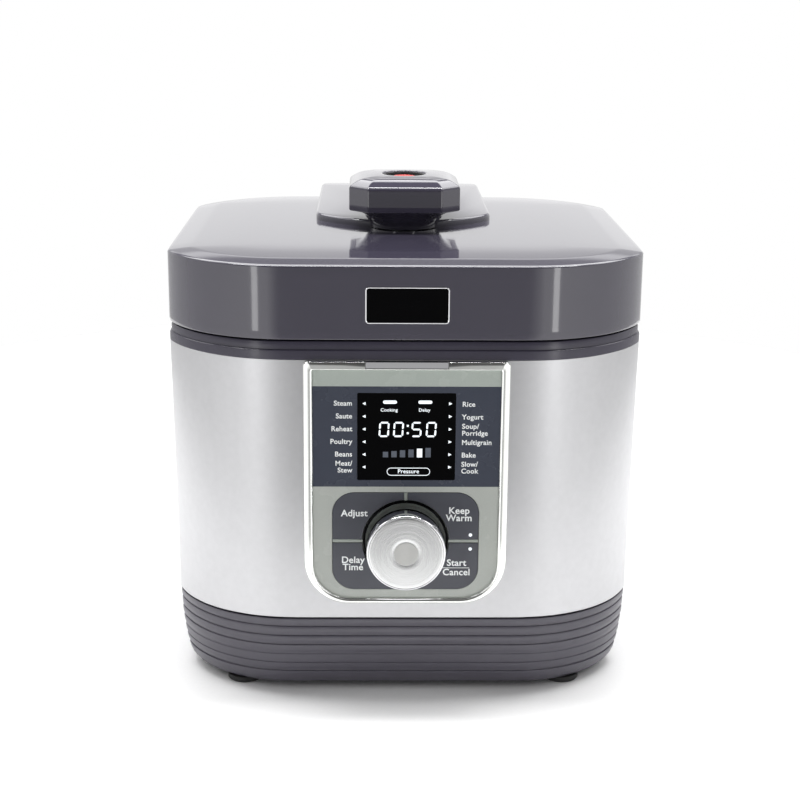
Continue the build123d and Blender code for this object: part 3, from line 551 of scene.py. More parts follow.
def make_base():
    """The ribbed foot. Its profile goes up the outside, groove by groove, and down the inside."""
    half_w, half_d = HALF_W - TAPER, HALF_D - BASE_SET_BACK
    top = BASE_TOP
    under = BASE_LEVELS[0][1] + UNDERSIDE_RIM
    profile = [(under, BASE_LOW.z)]
    profile += [(inset, z) for z, inset in BASE_LEVELS if z < GROOVE_FIRST - 0.5]
    for i in range(GROOVES):
        z = GROOVE_FIRST + i * GROOVE_PITCH
        here = base_inset(z)
        profile += [(here + 0.10, z - 0.45), (here + 0.32, z - 0.1), (here + GROOVE_DEEP, z + 0.1)]
        profile += [(here + GROOVE_DEEP, z + GROOVE_H - 0.1), (here + 0.32, z + GROOVE_H + 0.1)]
        profile += [(here + 0.08, z + GROOVE_H + 0.5)]
        middle = z + (GROOVE_H + GROOVE_PITCH) / 2
        if middle < top - 1:
            profile.append((base_inset(middle), middle))
    profile += [(0.3, top - 0.7), (0.5, top - 0.2), (1.0, top)]
    profile += [(0.3 + WALL, top), (0.3 + WALL, top - 30), (5.0 + WALL, 12), (under, BASE_LOW.z + WALL)]
    rings = [at_height(plan(half_w, half_d, inset), z) for inset, z in profile]

    def inlet_opening(c):
        return c[1] > 120 and abs(c[0]) < BACK_STOPS[1] and INLET_OPENING[0] < c[2] < INLET_OPENING[1]

    shape = rings_to_mesh(rings, close_profile=True, skip=inlet_opening)
    build("ribbed_base", shape, "base", dark_satin, ["base_shell"])


def cut_box(piece, low, high):
    """Cuts a box out of a piece, whose mesh keeps the result."""
    cutter_mesh = bpy.data.meshes.new("cutter")
    corners = [(x, y, z) for x in (low[0], high[0]) for y in (low[1], high[1]) for z in (low[2], high[2])]
    sides = [(0, 1, 3, 2), (4, 6, 7, 5), (0, 4, 5, 1), (2, 3, 7, 6), (0, 2, 6, 4), (1, 5, 7, 3)]
    cutter_mesh.from_pydata([Vector(c) * MM for c in corners], [], sides)
    cutter = bpy.data.objects.new("cutter", cutter_mesh)
    bpy.context.scene.collection.objects.link(cutter)
    cut = piece.modifiers.new("cut", "BOOLEAN")
    cut.operation = "DIFFERENCE"
    cut.solver = "EXACT"
    cut.object = cutter
    bpy.context.view_layer.update()
    graph = bpy.context.evaluated_depsgraph_get()
    result = bpy.data.meshes.new_from_object(piece.evaluated_get(graph))
    piece.modifiers.clear()
    piece.data = result
    bpy.data.objects.remove(cutter)
    result.shade_smooth()
    result.set_sharp_from_angle(angle=radians(SHARP_DEG))


WRAP_EASE = 22.0
WRAP_T = 1.0
PANEL_OPENING, PANEL_ROWS = (82.0, 229.0), 8
KEY_SLOT = (231.5, 235.0)  # the slot above the panel that the release key's lever goes through


def make_wrap():
    """The steel wrap: an open sleeve with the panel's opening in front."""
    bottom, top = SKIN_LOW.z, SKIN_HIGH.z
    low, high = PANEL_OPENING
    heights = [bottom, bottom + 0.3, 70, low]
    heights += [low + (high - low) * i / PANEL_ROWS for i in range(1, PANEL_ROWS + 1)]
    heights += [*KEY_SLOT, top - 0.3, top]

    def ring(z, inset):
        share = (z - bottom) / (top - bottom)
        return at_height(plan(HALF_W - TAPER * (1 - share), HALF_D, inset, WRAP_EASE), z)

    rings = [ring(z, 0.25 if z in (bottom, top) else 0.0) for z in heights]
    rings += [ring(z, WRAP_T) for z in reversed(heights)]

    def opening(c):
        in_panel = abs(c[0]) < FRONT_STOPS[0] and low < c[2] < high
        in_slot = abs(c[0]) < FRONT_STOPS[1] and KEY_SLOT[0] < c[2] < KEY_SLOT[1]
        return c[1] < FRONT_FACE_Y and (in_panel or in_slot)

    shape = rings_to_mesh(rings, close_profile=True, skip=opening)
    build("steel_wrap", shape, "base", brushed_wrap, ["body_skin"])


RING_HOLE_R = 126.6
RING_STEP_Z = 242.5  # where the ring steps in below the lid
SEAL_GROOVE_OUT, SEAL_GROOVE_IN, SEAL_GROOVE_DEPTH = 132.0, 129.4, 2.5


def make_upper_ring():
    bottom, top, step = RING_LOW.z, RING_HIGH.z, RING_STEP_Z
    profile = [(0.25, bottom), (0.0, bottom + 0.3), (0.0, step - 1.2), (0.15, step - 0.45)]
    profile += [(0.55, step - 0.1), (1.3, step), (1.3, step + 0.4)]
    profile += [(1.3, top - 1.0), (1.6, top - 0.3), (2.3, top)]
    rings = [at_height(plan(HALF_W, HALF_D, inset), z) for inset, z in profile]
    edge = plan(HALF_W, HALF_D, profile[-1][0])
    groove_floor = top - SEAL_GROOVE_DEPTH
    inside = [(SEAL_GROOVE_OUT, top), (SEAL_GROOVE_OUT, groove_floor), (SEAL_GROOVE_IN, groove_floor)]
    inside += [(SEAL_GROOVE_IN, top), (RING_HOLE_R + 0.5, top)]
    inside += [(RING_HOLE_R, top - 0.5), (RING_HOLE_R, bottom)]
    rings += [towards_circle(edge, r, 1.0, z) for r, z in inside]
    shape = rings_to_mesh(rings, close_profile=True)
    ring = build("rim_ring", shape, "base", dark_satin_gloss, ["upper_ring"])
    cut_box(ring, (-9, -150.5, 200), (9, -130, 260))  # room for the latch lever


# --- Turn handle ---
GRIP_HALF = GRIP_HIGH.x
GRIP_FACET = 25.8
GRIP_CORNER_R = 2.2
SHOULDER_Z = 332.2
CROWN_DROP, CROWN_POWER = 5.0, 4.4
CROWN_REACH = 9.6  # the inset at which the octagon starts to close to a circle
RECESS_R, RECESS_FLOOR = 15.5, 331.0
SHOULDER_SLOPE = tan(radians(34))


def octagon_ring(half, facet, corner_r=GRIP_CORNER_R, corner_steps=7, side_steps=9):
    """A square with cut corners, each of its eight corners rounded, centred on the pot's axis."""
    corners = []
    for k in range(4):
        turn = Matrix.Rotation(k * pi / 2, 2)
        corners.append(turn @ Vector((facet, -half)))
        corners.append(turn @ Vector((half, -facet)))
    ring = []
    n = len(corners)
    for i, here in enumerate(corners):
        before = (corners[i - 1] - here).normalized()
        after = (corners[(i + 1) % n] - here).normalized()
        half_angle = before.angle(after) / 2
        reach = corner_r / tan(half_angle)
        centre = here + (before + after).normalized() * (corner_r / sin(half_angle))
        start, end = here + before * reach - centre, here + after * reach - centre
        sweep = start.angle(end)
        for j in range(corner_steps + 1):
            spin = Matrix.Rotation(sweep * j / corner_steps, 2)
            ring.append(centre + spin @ start)
        following = corners[(i + 1) % n]
        next_before = (here - following).normalized()
        leave = here + after * reach
        arrive = following + next_before * reach
        for j in range(1, side_steps):
            ring.append(leave.lerp(arrive, j / side_steps))
    return [(p.x, p.y + POT_Y) for p in ring]


def crown_z(inset):
    """The top's height at a distance in from the outline: almost level, falling away near the edge."""
    return GRIP_HIGH.z - 0.1 - CROWN_DROP * ((GRIP_HALF - inset) / GRIP_HALF) ** CROWN_POWER


def soft_min(a, b, k=1.3):
    """The lower of two heights, with the corner where they cross rounded over k."""
    h = max(k - abs(a - b), 0.0) / k
    return min(a, b) - h * h * k / 4


def make_grip():
    rings = []
    bottom = GRIP_LOW.z
    side_top, side_foot = SHOULDER_Z - 1.6, bottom + 1.6
    regular = sqrt(2) - 1  # how much a regular octagon's facets shorten per millimetre of inset

    def level(inset, z):
        facet = GRIP_FACET - inset * regular
        return at_height(octagon_ring(GRIP_HALF - inset, facet), z)

    rings.append(level(5.0, bottom + 6))
    rings.append(level(4.4, bottom))
    for inset, z in ((1.6, bottom), (0.7, bottom + 0.25), (0.2, bottom + 0.8), (0.0, bottom + 1.6)):
        rings.append(level(inset, z))
    for i in range(1, 5):
        rings.append(level(0.0, side_foot + (side_top - side_foot) * i / 4))
    rings.append(level(0.12, SHOULDER_Z - 0.8))
    rings.append(level(0.5, SHOULDER_Z - 0.1))
    for inset in (1.0, 1.5, 2.0, 2.5, 3.0, 3.5, 4.0, 4.6, 5.2, 6.0, 7.5, CROWN_REACH):
        shoulder = SHOULDER_Z + (inset - 0.15) * SHOULDER_SLOPE
        rings.append(level(inset, soft_min(shoulder, crown_z(inset))))
    lip_r = RECESS_R + 1.2
    inner = octagon_ring(GRIP_HALF - CROWN_REACH, GRIP_FACET - CROWN_REACH * regular)
    for share in (0.2, 0.4, 0.6, 0.75, 0.88, 1.0):
        inset = CROWN_REACH + (GRIP_HALF - CROWN_REACH - lip_r) * share
        rings.append(towards_circle(inner, lip_r, share, crown_z(inset)))
    lip = crown_z(GRIP_HALF - lip_r)
    for wider, down in ((0.6, 0.05), (0.15, 0.4), (0.0, 1.0), (0.0, lip - RECESS_FLOOR)):
        rings.append(towards_circle(inner, RECESS_R + wider, 1.0, lip - down))
    shape = rings_to_mesh(rings)
    build("turn_grip", shape, "turn_handle", dark_gloss, ["handle_grip"], sharp_deg=60)


def make_neck():
    """A round stem that opens out into the grip's octagon."""
    low, high = NECK_LOW.z, GRIP_LOW.z + 0.2
    r_low, r_high, waist = 24.5, 27.5, 307.5
    target = octagon_ring(GRIP_HALF - 4.5, GRIP_FACET - 1.9)
    rings = [towards_circle(target, 13.4, 1.0, low)]
    for i in range(6):
        t = i / 5
        rings.append(towards_circle(target, r_low + (r_high - r_low) * t * t, 1.0, low + (waist - low) * t))
    for i in range(1, 9):
        t = i / 8
        rings.append(towards_circle(target, r_high, 1 - t ** 1.5, waist + (high - waist) * t))
    shape = rings_to_mesh(rings)
    build("grip_neck", shape, "turn_handle", dark_gloss, ["handle_neck"], sharp_deg=60)


# --- Hinge cover ---
SPINE_HALF = COVER_HIGH.x
SPINE_FRONT = COVER_LOW.y
SPINE_SIDE = 16.0  # where the front arc meets the straight sides
SPINE_EASE, SPINE_EDGE_R, SPINE_WALL, SPINE_BACK_R = 6.0, 2.0, 2.4, 4
VENT_PITCH, VENT_HALF, VENT_Z = 12, 3.5, (287, 290)


def make_cover():
    """The raised strip on the lid and the shroud over the hinge behind it."""
    top, back, bottom = COVER_HIGH.z, COVER_HIGH.y, COVER_LOW.z
    depth = SPINE_SIDE - SPINE_FRONT
    arc_r = (SPINE_HALF ** 2 + depth ** 2) / (2 * depth)
    reach = degrees(asin(SPINE_HALF / arc_r))

    def outline(inset):
        side, r = SPINE_HALF - inset, SPINE_BACK_R
        ring = arc(0, SPINE_FRONT + arc_r, arc_r - inset, 270 - reach, 270 + reach, 48)
        ring = [(max(-side, min(side, x)), y) for x, y in ring]
        ring += straight((side, SPINE_SIDE + 2), (side, HALF_D), 10)
        ring += straight((side, HALF_D + 0.05), (side, back - r - 1), 4)
        ring += arc(side - r, back - inset - r, r, 0, 90, 6)
        ring += straight((side - r - 1, back - inset), (-side + r + 1, back - inset), 10)
        ring += arc(-side + r, back - inset - r, r, 90, 180, 6)
        ring += straight((-side, back - r - 1), (-side, HALF_D + 0.05), 4)
        ring += straight((-side, HALF_D), (-side, SPINE_SIDE + 2), 10)
        return eased(ring, SPINE_EASE)

    # the foot stands on the lid, and behind the lid it goes down over the hinge
    rings = [[(x, y, LID_RIM_Z - 2.0 if y < HALF_D + 0.02 else bottom) for x, y in outline(0)]]
    rings += [at_height(outline(0), LID_HIGH.z), at_height(outline(0), top - SPINE_EDGE_R)]
    for inset, up in arc(SPINE_EDGE_R, 0, SPINE_EDGE_R, 180, 90, 6)[1:]:
        rings.append(at_height(outline(inset), top - SPINE_EDGE_R + up))
    shape = rings_to_mesh(rings, cap_end=True)
    cover = build("hinge_shroud", shape, "lid", dark_gloss, ["hinge_cover"], sharp_deg=50)
    wall = cover.modifiers.new("wall", "SOLIDIFY")
    wall.thickness = SPINE_WALL * MM
    wall.offset = -1.0
    for i in range(-3, 4):
        x = VENT_PITCH * i
        cut_box(cover, (x - VENT_HALF, back - 5, VENT_Z[0]), (x + VENT_HALF, back + 1, VENT_Z[1]))


# --- Panel, screen, keys, knob ---
def panel_ring(half_w, low, high, r_bottom, r_top, y):
    """A rounded upright rectangle facing front."""
    ring = arc(-half_w + r_bottom, low + r_bottom, r_bottom, 180, 270, 16)
    ring += arc(half_w - r_bottom, low + r_bottom, r_bottom, 270, 360, 16)
    ring += arc(half_w - r_top, high - r_top, r_top, 0, 90, 8)
    ring += arc(-half_w + r_top, high - r_top, r_top, 90, 180, 8)
    return [(x, y, z) for x, z in ring]


SIDE_LEAN = 0.13
FRAME_R, FRAME_TOP_R, FILM_R, FILM_TOP_R = 30, 3, 25, 1.5  # corner radii, lower and upper
KEY_GAP = 0.35
# (inset, distance behind the front) round the frame's outer and inner edge
FRAME_OUTER = ((0, 1.8), (0.12, 0.8), (0.45, 0.3), (0.8, 0.1), (1.2, 0))
FRAME_INNER = ((2.0, 0), (1.3, 0.12), (0.6, 0.5), (0.15, 1.1), (0, 1.9))


def make_frame():
    half, low, high = FRAME_HIGH.x, FRAME_LOW.z, FRAME_HIGH.z
    back, front = FRAME_HIGH.y, FRAME_LOW.y
    film_half, film_low, film_high = FILM_HIGH.x + 0.1, FILM_LOW.z - 0.1, FILM_HIGH.z + 0.1

    def outer(inset, y):
        return panel_ring(half - inset, low + inset, high - inset * 0.55, FRAME_R - inset, FRAME_TOP_R, y)

    def inner(inset, y):
        low_z, high_z = film_low - inset, film_high + inset * 0.3
        return panel_ring(film_half + inset, low_z, high_z, FILM_R + inset, FILM_TOP_R, y)

    rings = [outer(0, back)] + [outer(inset, front + behind) for inset, behind in FRAME_OUTER]
    rings += [inner(inset, front + behind) for inset, behind in FRAME_INNER] + [inner(0, back)]

    def lean(x, y):
        """The side bars' faces lean outwards."""
        return y + SIDE_LEAN * max(0.0, abs(x) - film_half) if y < front + 1 else y

    rings = [[(x, lean(x, y), z) for x, y, z in ring] for ring in rings]
    shape = rings_to_mesh(rings, close_profile=True)
    bezel = build("panel_bezel", shape, "base", frame_silver, ["panel_frame"])
    key_low, key_high = node_box("release_key")
    cut_low = (key_low.x - KEY_GAP, -170, key_low.z - KEY_GAP)
    cut_box(bezel, cut_low, (key_high.x + KEY_GAP, -140, key_high.z + KEY_GAP))


CAP_SHARE = 0.70  # the font's cap height, as a share of its size
INK_T = 0.12


def text_piece(name, words, body, material, leading=4.7, bold=0.030):
    """Words as flat raised meshes on the front; each word is (text, x, z, cap height, alignment, y)."""
    joined = bmesh.new()
    for text, x, z, cap, align, y in words:
        curve = bpy.data.curves.new(name, "FONT")
        curve.body = text
        curve.size = cap / CAP_SHARE * MM
        curve.align_x = align
        curve.align_y = "CENTER"
        curve.extrude = INK_T / 2 * MM
        curve.offset = bold * cap * MM
        curve.space_line = leading * CAP_SHARE / cap
        curve.space_character = 1.04
        curve.resolution_u = 4
        word = bpy.data.objects.new(name, curve)
        bpy.context.scene.collection.objects.link(word)
        word.matrix_world = Matrix.Translation(Vector((x, y, z)) * MM) @ Matrix.Rotation(pi / 2, 4, "X")
        bpy.context.view_layer.update()
        graph = bpy.context.evaluated_depsgraph_get()
        mesh = bpy.data.meshes.new_from_object(word.evaluated_get(graph))
        mesh.transform(word.matrix_world)
        bpy.data.objects.remove(word)
        joined.from_mesh(mesh)
        bpy.data.meshes.remove(mesh)
    result = bpy.data.meshes.new(name)
    joined.to_mesh(result)
    joined.free()
    result.materials.clear()
    return add_object(name, result, body, material)


def plates(name, shapes, body, material, y):
    """Flat raised shapes on the front, each a list of (x, z) corners."""
    points, faces = [], []
    for shape in shapes:
        start = len(points)
        n = len(shape)
        points += [(x, y - PRINT_T, z) for x, z in shape] + [(x, y, z) for x, z in shape]
        faces.append(tuple(range(start, start + n)))
        faces.append(tuple(reversed(range(start + n, start + 2 * n))))
        for i in range(n):
            j = (i + 1) % n
            faces.append((start + i, start + j, start + n + j, start + n + i))
    build(name, (points, faces), body, material)


def rectangle(x0, x1, z0, z1):
    return [(x0, z0), (x1, z0), (x1, z1), (x0, z1)]


def pill(x0, x1, z0, z1, steps=8):
    r = (z1 - z0) / 2
    middle = (z0 + z1) / 2
    return arc(x0 + r, middle, r, 90, 270, steps) + arc(x1 - r, middle, r, -90, 90, steps)


SCREEN_Y = LENS_LOW.y
ROW_TOP, ROW_PITCH = 207.3, 8.65
ROWS = [ROW_TOP - i * ROW_PITCH for i in range(6)]
LEFT_LABELS = ("Steam", "Saute", "Reheat", "Poultry", "Beans", "Meat/\nStew")
RIGHT_LABELS = ("Rice", "Yogurt", "Soup/\nPorridge", "Multigrain", "Bake", "Slow/\nCook")
LABEL_CAP = 3.3


def make_print():
    """Function words on the slate band, and the pointers beside them on the screen."""
    words = [(text, -35.4, z, LABEL_CAP, "RIGHT", FRONT) for text, z in zip(LEFT_LABELS, ROWS)]
    words += [(text, 36.2, z - 0.5, LABEL_CAP, "LEFT", FRONT) for text, z in zip(RIGHT_LABELS, ROWS)]
    text_piece("panel_words", words, "base", ink_white)
    pointers = []
    for z in ROWS:
        pointers.append([(-28.8, z), (-26.7, z - 1.05), (-26.7, z + 1.05)])
        pointers.append([(29.7, z), (27.6, z + 1.05), (27.6, z - 1.05)])
    plates("screen_pointers", pointers, "base", lit_white, SCREEN_Y)


FIGURE_W, FIGURE_H, FIGURE_LEAN, SEGMENT_T, SEGMENT_GAP = 5.6, 9.2, 0.06, 1.15, 0.25
CLOCK_Z = 189.8
CLOCK = (("0", -14.6), ("0", -5.2), ("5", 6.6), ("0", 16.2))  # figures and their x
SEGMENTS = {"0": "abcdef", "5": "afgcd"}  # the bars that the clock's figures use


def digit(char, x, z):
    """A seven-segment figure: each bar is a six-sided sliver, the whole leaning a little."""
    width, half_w, half_h, b = FIGURE_W, FIGURE_W / 2, FIGURE_H / 2, SEGMENT_T / 2

    def flat(cx, cz, length):
        h = length / 2 - SEGMENT_GAP
        low = [(cx - h + b, cz - b), (cx + h - b, cz - b)]
        high = [(cx + h - b, cz + b), (cx - h + b, cz + b)]
        return [(cx - h, cz), *low, (cx + h, cz), *high]

    def tall(cx, cz, length):
        return [(cx + dz, cz + dx) for dx, dz in flat(0, 0, length)][::-1]

    places = {
        "a": flat(0, half_h, width), "g": flat(0, 0, width), "d": flat(0, -half_h, width),
        "f": tall(-half_w, half_h / 2, half_h), "b": tall(half_w, half_h / 2, half_h),
        "e": tall(-half_w, -half_h / 2, half_h), "c": tall(half_w, -half_h / 2, half_h),
    }
    return [[(x + px + pz * FIGURE_LEAN, z + pz) for px, pz in places[bar]] for bar in SEGMENTS[char]]


BAR_X, BAR_PITCH, BAR_HALF, BAR_FOOT, BAR_H, BAR_GROWTH = -13.6, 5.58, 1.75, 170.8, 3.7, 0.55
LIT_BAR = 4
PRINT_T = 0.15  # how far the lit shapes stand out


def make_display():
    """The clock, two lamps above it, a row of bars and the outlined word below it."""
    shapes = [shape for char, x in CLOCK for shape in digit(char, x, CLOCK_Z)]
    for z in (CLOCK_Z - 2.5, CLOCK_Z + 2.5):
        shapes.append(rectangle(0.2, 1.5, z - 0.65, z + 0.65))
    shapes += [pill(-15.4, -6.3, 207.2, 209.4), pill(7.6, 16.7, 207.2, 209.4)]
    bars = []
    for i in range(6):
        x = BAR_X + BAR_PITCH * i
        bars.append(rectangle(x - BAR_HALF, x + BAR_HALF, BAR_FOOT, BAR_FOOT + BAR_H + BAR_GROWTH * i))
    shapes.append(bars.pop(LIT_BAR))
    plates("display_figures", shapes, "base", lit_white, SCREEN_Y)
    plates("display_bars", bars, "base", dim_lit, SCREEN_Y)
    outline = pill(-12.7, 15.8, 158.2, 163.6)
    inner = pill(-12.3, 15.4, 158.6, 163.2)
    n = len(outline)
    points = [(x, y, z) for y in (SCREEN_Y - PRINT_T, SCREEN_Y) for x, z in outline + inner]
    faces = []
    for i in range(n):
        j = (i + 1) % n
        faces += [(i, j, n + j, n + i), (i, 2 * n + i, 2 * n + j, j), (n + i, n + j, 3 * n + j, 3 * n + i)]
    build("display_capsule", (points, faces), "base", lit_white)
    words = [("Pressure", 1.5, 161.0, 2.7), ("Cooking", -11.4, 202.9, 2.2), ("Delay", 11.6, 202.9, 2.2)]
    words = [(*word, "CENTER", SCREEN_Y) for word in words]
    text_piece("display_words", words, "base", lit_white, bold=0.012)


KEY_WORDS = {
    "key_top_left": ("button_top_left", [("Adjust", -34.0, 131.9)]),
    "key_top_right": ("button_top_right", [("Keep\nWarm", 35.4, 131.2)]),
    "key_bottom_left": ("button_bottom_left", [("Delay\nTime", -34.9, 96.4)]),
    "key_bottom_right": ("button_bottom_right", [("Start", 34.2, 97.0), ("Cancel", 34.2, 90.3)]),
}
KEY_CAP, KEY_LEADING = 4.5, 5.1
RULE = rectangle(24.6, 42.8, 93.4, 93.75)
LAMP_X, LAMP_R = 43.2, 1.15
LAMPS = (("lamp_upper", "key_top_right", 116.9), ("lamp_lower", "key_bottom_right", 107.0))


def make_key_words():
    """Each key's words, the rule between two of them, and two lamps."""
    for key, (body, texts) in KEY_WORDS.items():
        face = node_box(key)[0].y
        words = [(text, x, z, KEY_CAP, "CENTER", face) for text, x, z in texts]
        text_piece("words_" + key, words, body, ink_white, KEY_LEADING)
    key = "key_bottom_right"
    plates("rule_start_cancel", [RULE], KEY_WORDS[key][0], ink_white, node_box(key)[0].y)
    for name, key, z in LAMPS:
        dot = arc(LAMP_X, z, LAMP_R, 0, 360, 20)[:-1]
        plates(name, [dot], KEY_WORDS[key][0], lit_white, node_box(key)[0].y)


KNOB_REAR = -158.1
KNOB_CAP_R = 8.3
KNOB_LIP = ((0.12, 0.5), (0.42, 0.95), (0.85, 1.15), (1.1, 1.2), (1.35, 1.1))  # the rim's rounded front edge


def knob_piece(name, profile, material, replaces=(), closed=False, sharp_deg=40):
    shape = rings_to_mesh(turned_front(profile), closed, not closed, not closed)
    build(name, shape, "control_knob", material, replaces, sharp_deg)


def make_knob():
    front, r, rear = SKIRT_LOW.y, SKIRT_HIGH.x, KNOB_REAR
    rim = [(r - 2.2, rear), (r - 0.8, rear), (r - 0.25, rear - 0.15), (r, rear - 0.6), (r, front + 1.3)]
    rim += [(r - u, front + 1.3 - v) for u, v in KNOB_LIP]
    rim += [(r - 1.5, front + 0.6), (r - 1.5, front + 2.4), (r - 2.4, front + 2.4), (r - 2.4, rear - 0.1)]
    knob_piece("knob_rim", rim, chrome, closed=True)
    face_r, y, inner = r - 1.55, FACE_LOW.y, KNOB_CAP_R
    disc = [(face_r, y + 1.6), (face_r, y + 0.35), (face_r - 0.3, y + 0.1), (face_r - 0.8, y)]
    disc += [(face_r - (face_r - inner - 0.4) * i / 6, y) for i in range(1, 7)]
    disc += [(inner + 0.15, y + 0.06), (inner, y + 0.4), (inner - 0.6, y + 0.4), (0.5, y + 0.4)]
    knob_piece("knob_disc", disc, knob_aluminium, ["knob_face"])
    cap_r = inner - 0.35
    cap = [(cap_r, y + 0.45), (cap_r, y + 0.14), (cap_r - 0.12, y + 0.04), (cap_r - 0.4, y)]
    cap += [(cap_r * share, y) for share in (0.75, 0.5, 0.25)]
    knob_piece("knob_cap", cap, knob_pearl)
    hub = [(6.5, rear - 0.5), (6.5, front + 3.6), (r - 1.6, front + 3.6), (r - 1.6, front + 1.9)]
    hub.append((0.5, front + 1.9))
    knob_piece("knob_hub", hub, chrome, ["knob_skirt"], sharp_deg=30)


# --- The spring under the pot's temperature sensor ---
SPRING_R, SPRING_WIRE, SPRING_LOW, SPRING_HIGH, SPRING_TURNS = 7.2, 0.6, 51.2, 64.0, 5
TURN_STEPS, WIRE_SIDES = 32, 10


def make_sensor_spring():
    """The coil as a mesh of its own, because it gets shorter as the sensor goes down."""
    steps = SPRING_TURNS * TURN_STEPS
    rings = []
    for i in range(steps + 1):
        turn = 2 * pi * SPRING_TURNS * i / steps
        z = SPRING_LOW + (SPRING_HIGH - SPRING_LOW) * i / steps
        ring = []
        for k in range(WIRE_SIDES):
            a = 2 * pi * k / WIRE_SIDES
            r = SPRING_R + SPRING_WIRE * cos(a)
            ring.append((r * cos(turn), POT_Y + r * sin(turn), z + SPRING_WIRE * sin(a)))
        rings.append(ring)
    shape = rings_to_mesh(rings, cap_start=True, cap_end=True)
    spring = build("sensor_coil", shape, "base", zinc_steel, ["sensor_spring"])
    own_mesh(spring)


# --- Studio ---
def softbox(name, place, target, width, height, power):
    light = bpy.data.lights.new(name, "AREA")
    light.shape = "RECTANGLE"
    light.size, light.size_y = width, height
    light.energy = power
    holder = bpy.data.objects.new(name, light)
    bpy.context.scene.collection.objects.link(holder)
    holder.location = place
    holder.visible_camera = False
    aim = Vector(target) - Vector(place)
    holder.rotation_mode = "QUATERNION"
    holder.rotation_quaternion = aim.to_track_quat("-Z", "Y")


def make_world():
    """A pale room: white behind, to the sides and overhead, dimmer where the camera stands."""
    world = bpy.data.worlds.new("studio")
    bpy.context.scene.world = world
    world.use_nodes = True
    nodes, links = world.node_tree.nodes, world.node_tree.links
    background = nodes["Background"]
    split = add_node(nodes, "SeparateXYZ")
    links.new(add_node(nodes, "TexCoord").outputs["Generated"], split.inputs["Vector"])
    up = split.outputs["Z"]

    def put(value, socket):
        if isinstance(value, (float, tuple)):
            socket.default_value = value
        else:
            links.new(value, socket)

    def calculated(operation, *operands):
        made = add_node(nodes, "Math")
        made.operation = operation
        for operand, socket in zip(operands, made.inputs):
            put(operand, socket)
        return made.outputs["Value"]

    def mixed(factor, first, second, blend_type="MIX"):
        made = add_node(nodes, "Mix")
        made.data_type, made.blend_type = "RGBA", blend_type
        for operand, socket in ((factor, "Factor"), (first, "A"), (second, "B")):
            put(operand, made.inputs[socket])
        return made.outputs["Result"]

    def brightness(stops, place):
        made = color_ramp(nodes, [(at, (value,) * 3) for at, value in stops])
        links.new(place, made.inputs["Fac"])
        return made.outputs["Color"]

    from_front = calculated("ARCTAN2", split.outputs["X"], calculated("MULTIPLY", split.outputs["Y"], -1.0))
    azimuth = spread(nodes, links, calculated("ABSOLUTE", from_front), 0.0, pi)
    elevation = spread(nodes, links, up, 0.0, 1.0)
    high = mixed(1.0, brightness(AROUND_HIGH, azimuth), brightness(ABOVE, elevation), "MULTIPLY")
    over_horizon = spread(nodes, links, up, *HORIZON)
    room = mixed(over_horizon, brightness(AROUND_LOW, azimuth), high)
    camera_ray = add_node(nodes, "LightPath").outputs["Is Camera Ray"]
    links.new(mixed(camera_ray, room, (1.0, 1.0, 1.0, 1.0)), background.inputs["Color"])
    background.inputs["Strength"].default_value = 1.0


HORIZON = (-0.02, 0.06)  # the sines of elevation between which the lower part passes into the upper
# (place, brightness): by azimuth from the front (0) to the back (1), below the horizon and above it, and
# above it also by the sine of the elevation
AROUND_LOW = ((0.0, 0.42), (0.06, 0.46), (0.11, 1.32), (0.20, 1.36), (0.45, 1.0), (0.70, 0.80), (1.0, 0.85))
AROUND_HIGH = ((0.0, 0.10), (0.20, 0.22), (0.45, 0.8), (0.70, 1.25), (1.0, 1.20))
ABOVE = ((0.0, 1.0), (0.17, 0.85), (0.23, 0.58), (0.30, 0.50), (0.33, 1.0), (0.37, 1.0), (0.41, 0.28),
         (0.50, 0.28), (0.56, 2.8), (0.74, 2.8), (0.84, 0.10), (1.0, 0.10))


FLOOR_R, FLOOR_Y, FLOOR_SIDES = 0.75, 0.30, 96  # metres


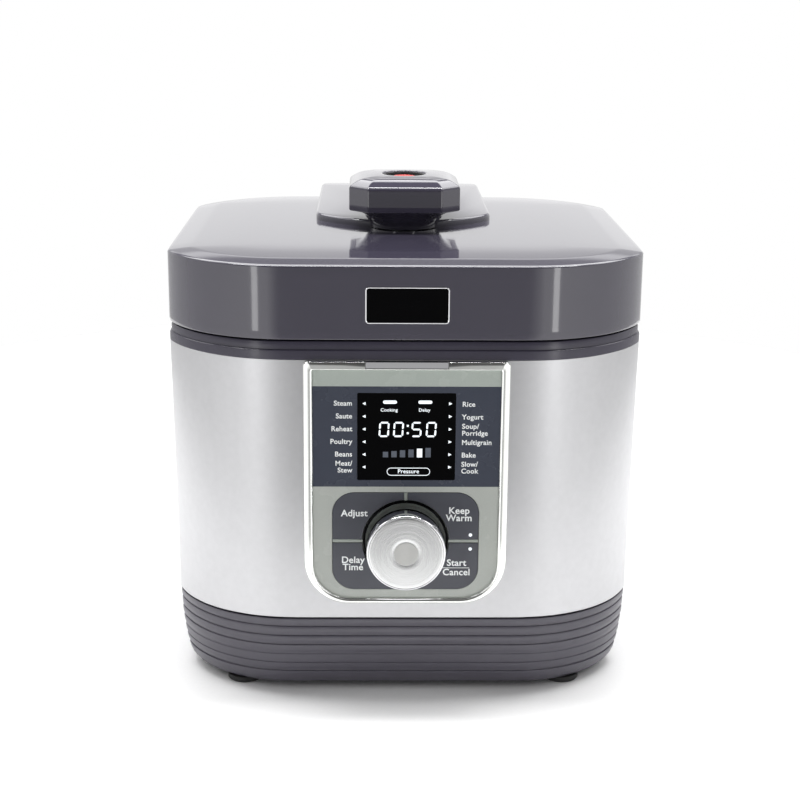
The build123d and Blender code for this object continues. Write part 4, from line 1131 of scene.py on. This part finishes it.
def make_floor():
    """A round sheet of pale paper; the white surroundings start beyond it."""
    mesh = bpy.data.meshes.new("floor")
    turns = [2 * pi * i / FLOOR_SIDES for i in range(FLOOR_SIDES)]
    rim = [(FLOOR_R * cos(turn), FLOOR_Y + FLOOR_R * sin(turn), 0) for turn in turns]
    mesh.from_pydata(rim, [], [tuple(range(FLOOR_SIDES))])
    floor = bpy.data.objects.new("floor", mesh)
    bpy.context.scene.collection.objects.link(floor)
    made, nodes, links, shader = new_material("paper")
    vector = object_coords(nodes, links)
    _, tone = noise_ramp(nodes, links, vector, 400.0, 0.88, 0.90)
    links.new(tone, shader.inputs["Base Color"])
    shader.inputs["Roughness"].default_value = 0.6
    mesh.materials.append(made)


CAMERA_PLACE = (-0.0231, -1.1598, 0.485)
CAMERA_HEADING, CAMERA_PITCH, CAMERA_ROLL = 1.07, 15.34, 0.46  # degrees: to +X, down, clockwise
FOCAL_MM, SENSOR_MM = 72.11, 36.0


def make_camera():
    lens = bpy.data.cameras.new("camera")
    lens.lens, lens.sensor_width = FOCAL_MM, SENSOR_MM
    camera = bpy.data.objects.new("camera", lens)
    bpy.context.scene.collection.objects.link(camera)
    camera.matrix_world = Matrix.Translation(CAMERA_PLACE)
    for degs, axis in ((-CAMERA_HEADING, "Z"), (90 - CAMERA_PITCH, "X"), (CAMERA_ROLL, "Z")):
        camera.matrix_world = camera.matrix_world @ Matrix.Rotation(radians(degs), 4, axis)
    bpy.context.scene.camera = camera


def make_studio():
    make_world()
    make_floor()
    softbox("top_box", (0, 0.03, 1.7), (0, 0.03, 0.2), 1.8, 0.32, 42)
    softbox("left_strip", (-0.56, -0.90, 0.32), (-0.10, -0.152, 0.30), 0.10, 0.60, 0.5)
    softbox("right_strip", (0.54, -0.90, 0.32), (0.10, -0.152, 0.30), 0.10, 0.60, 0.55)
    make_camera()
    view = bpy.context.scene.view_settings
    view.view_transform = "Standard"
    view.look = "None"


dress_cad_nodes()
make_lid()
make_base()
make_wrap()
make_upper_ring()
make_grip()
make_neck()
make_cover()
make_frame()
make_print()
make_display()
make_key_words()
make_knob()
make_sensor_spring()
make_studio()
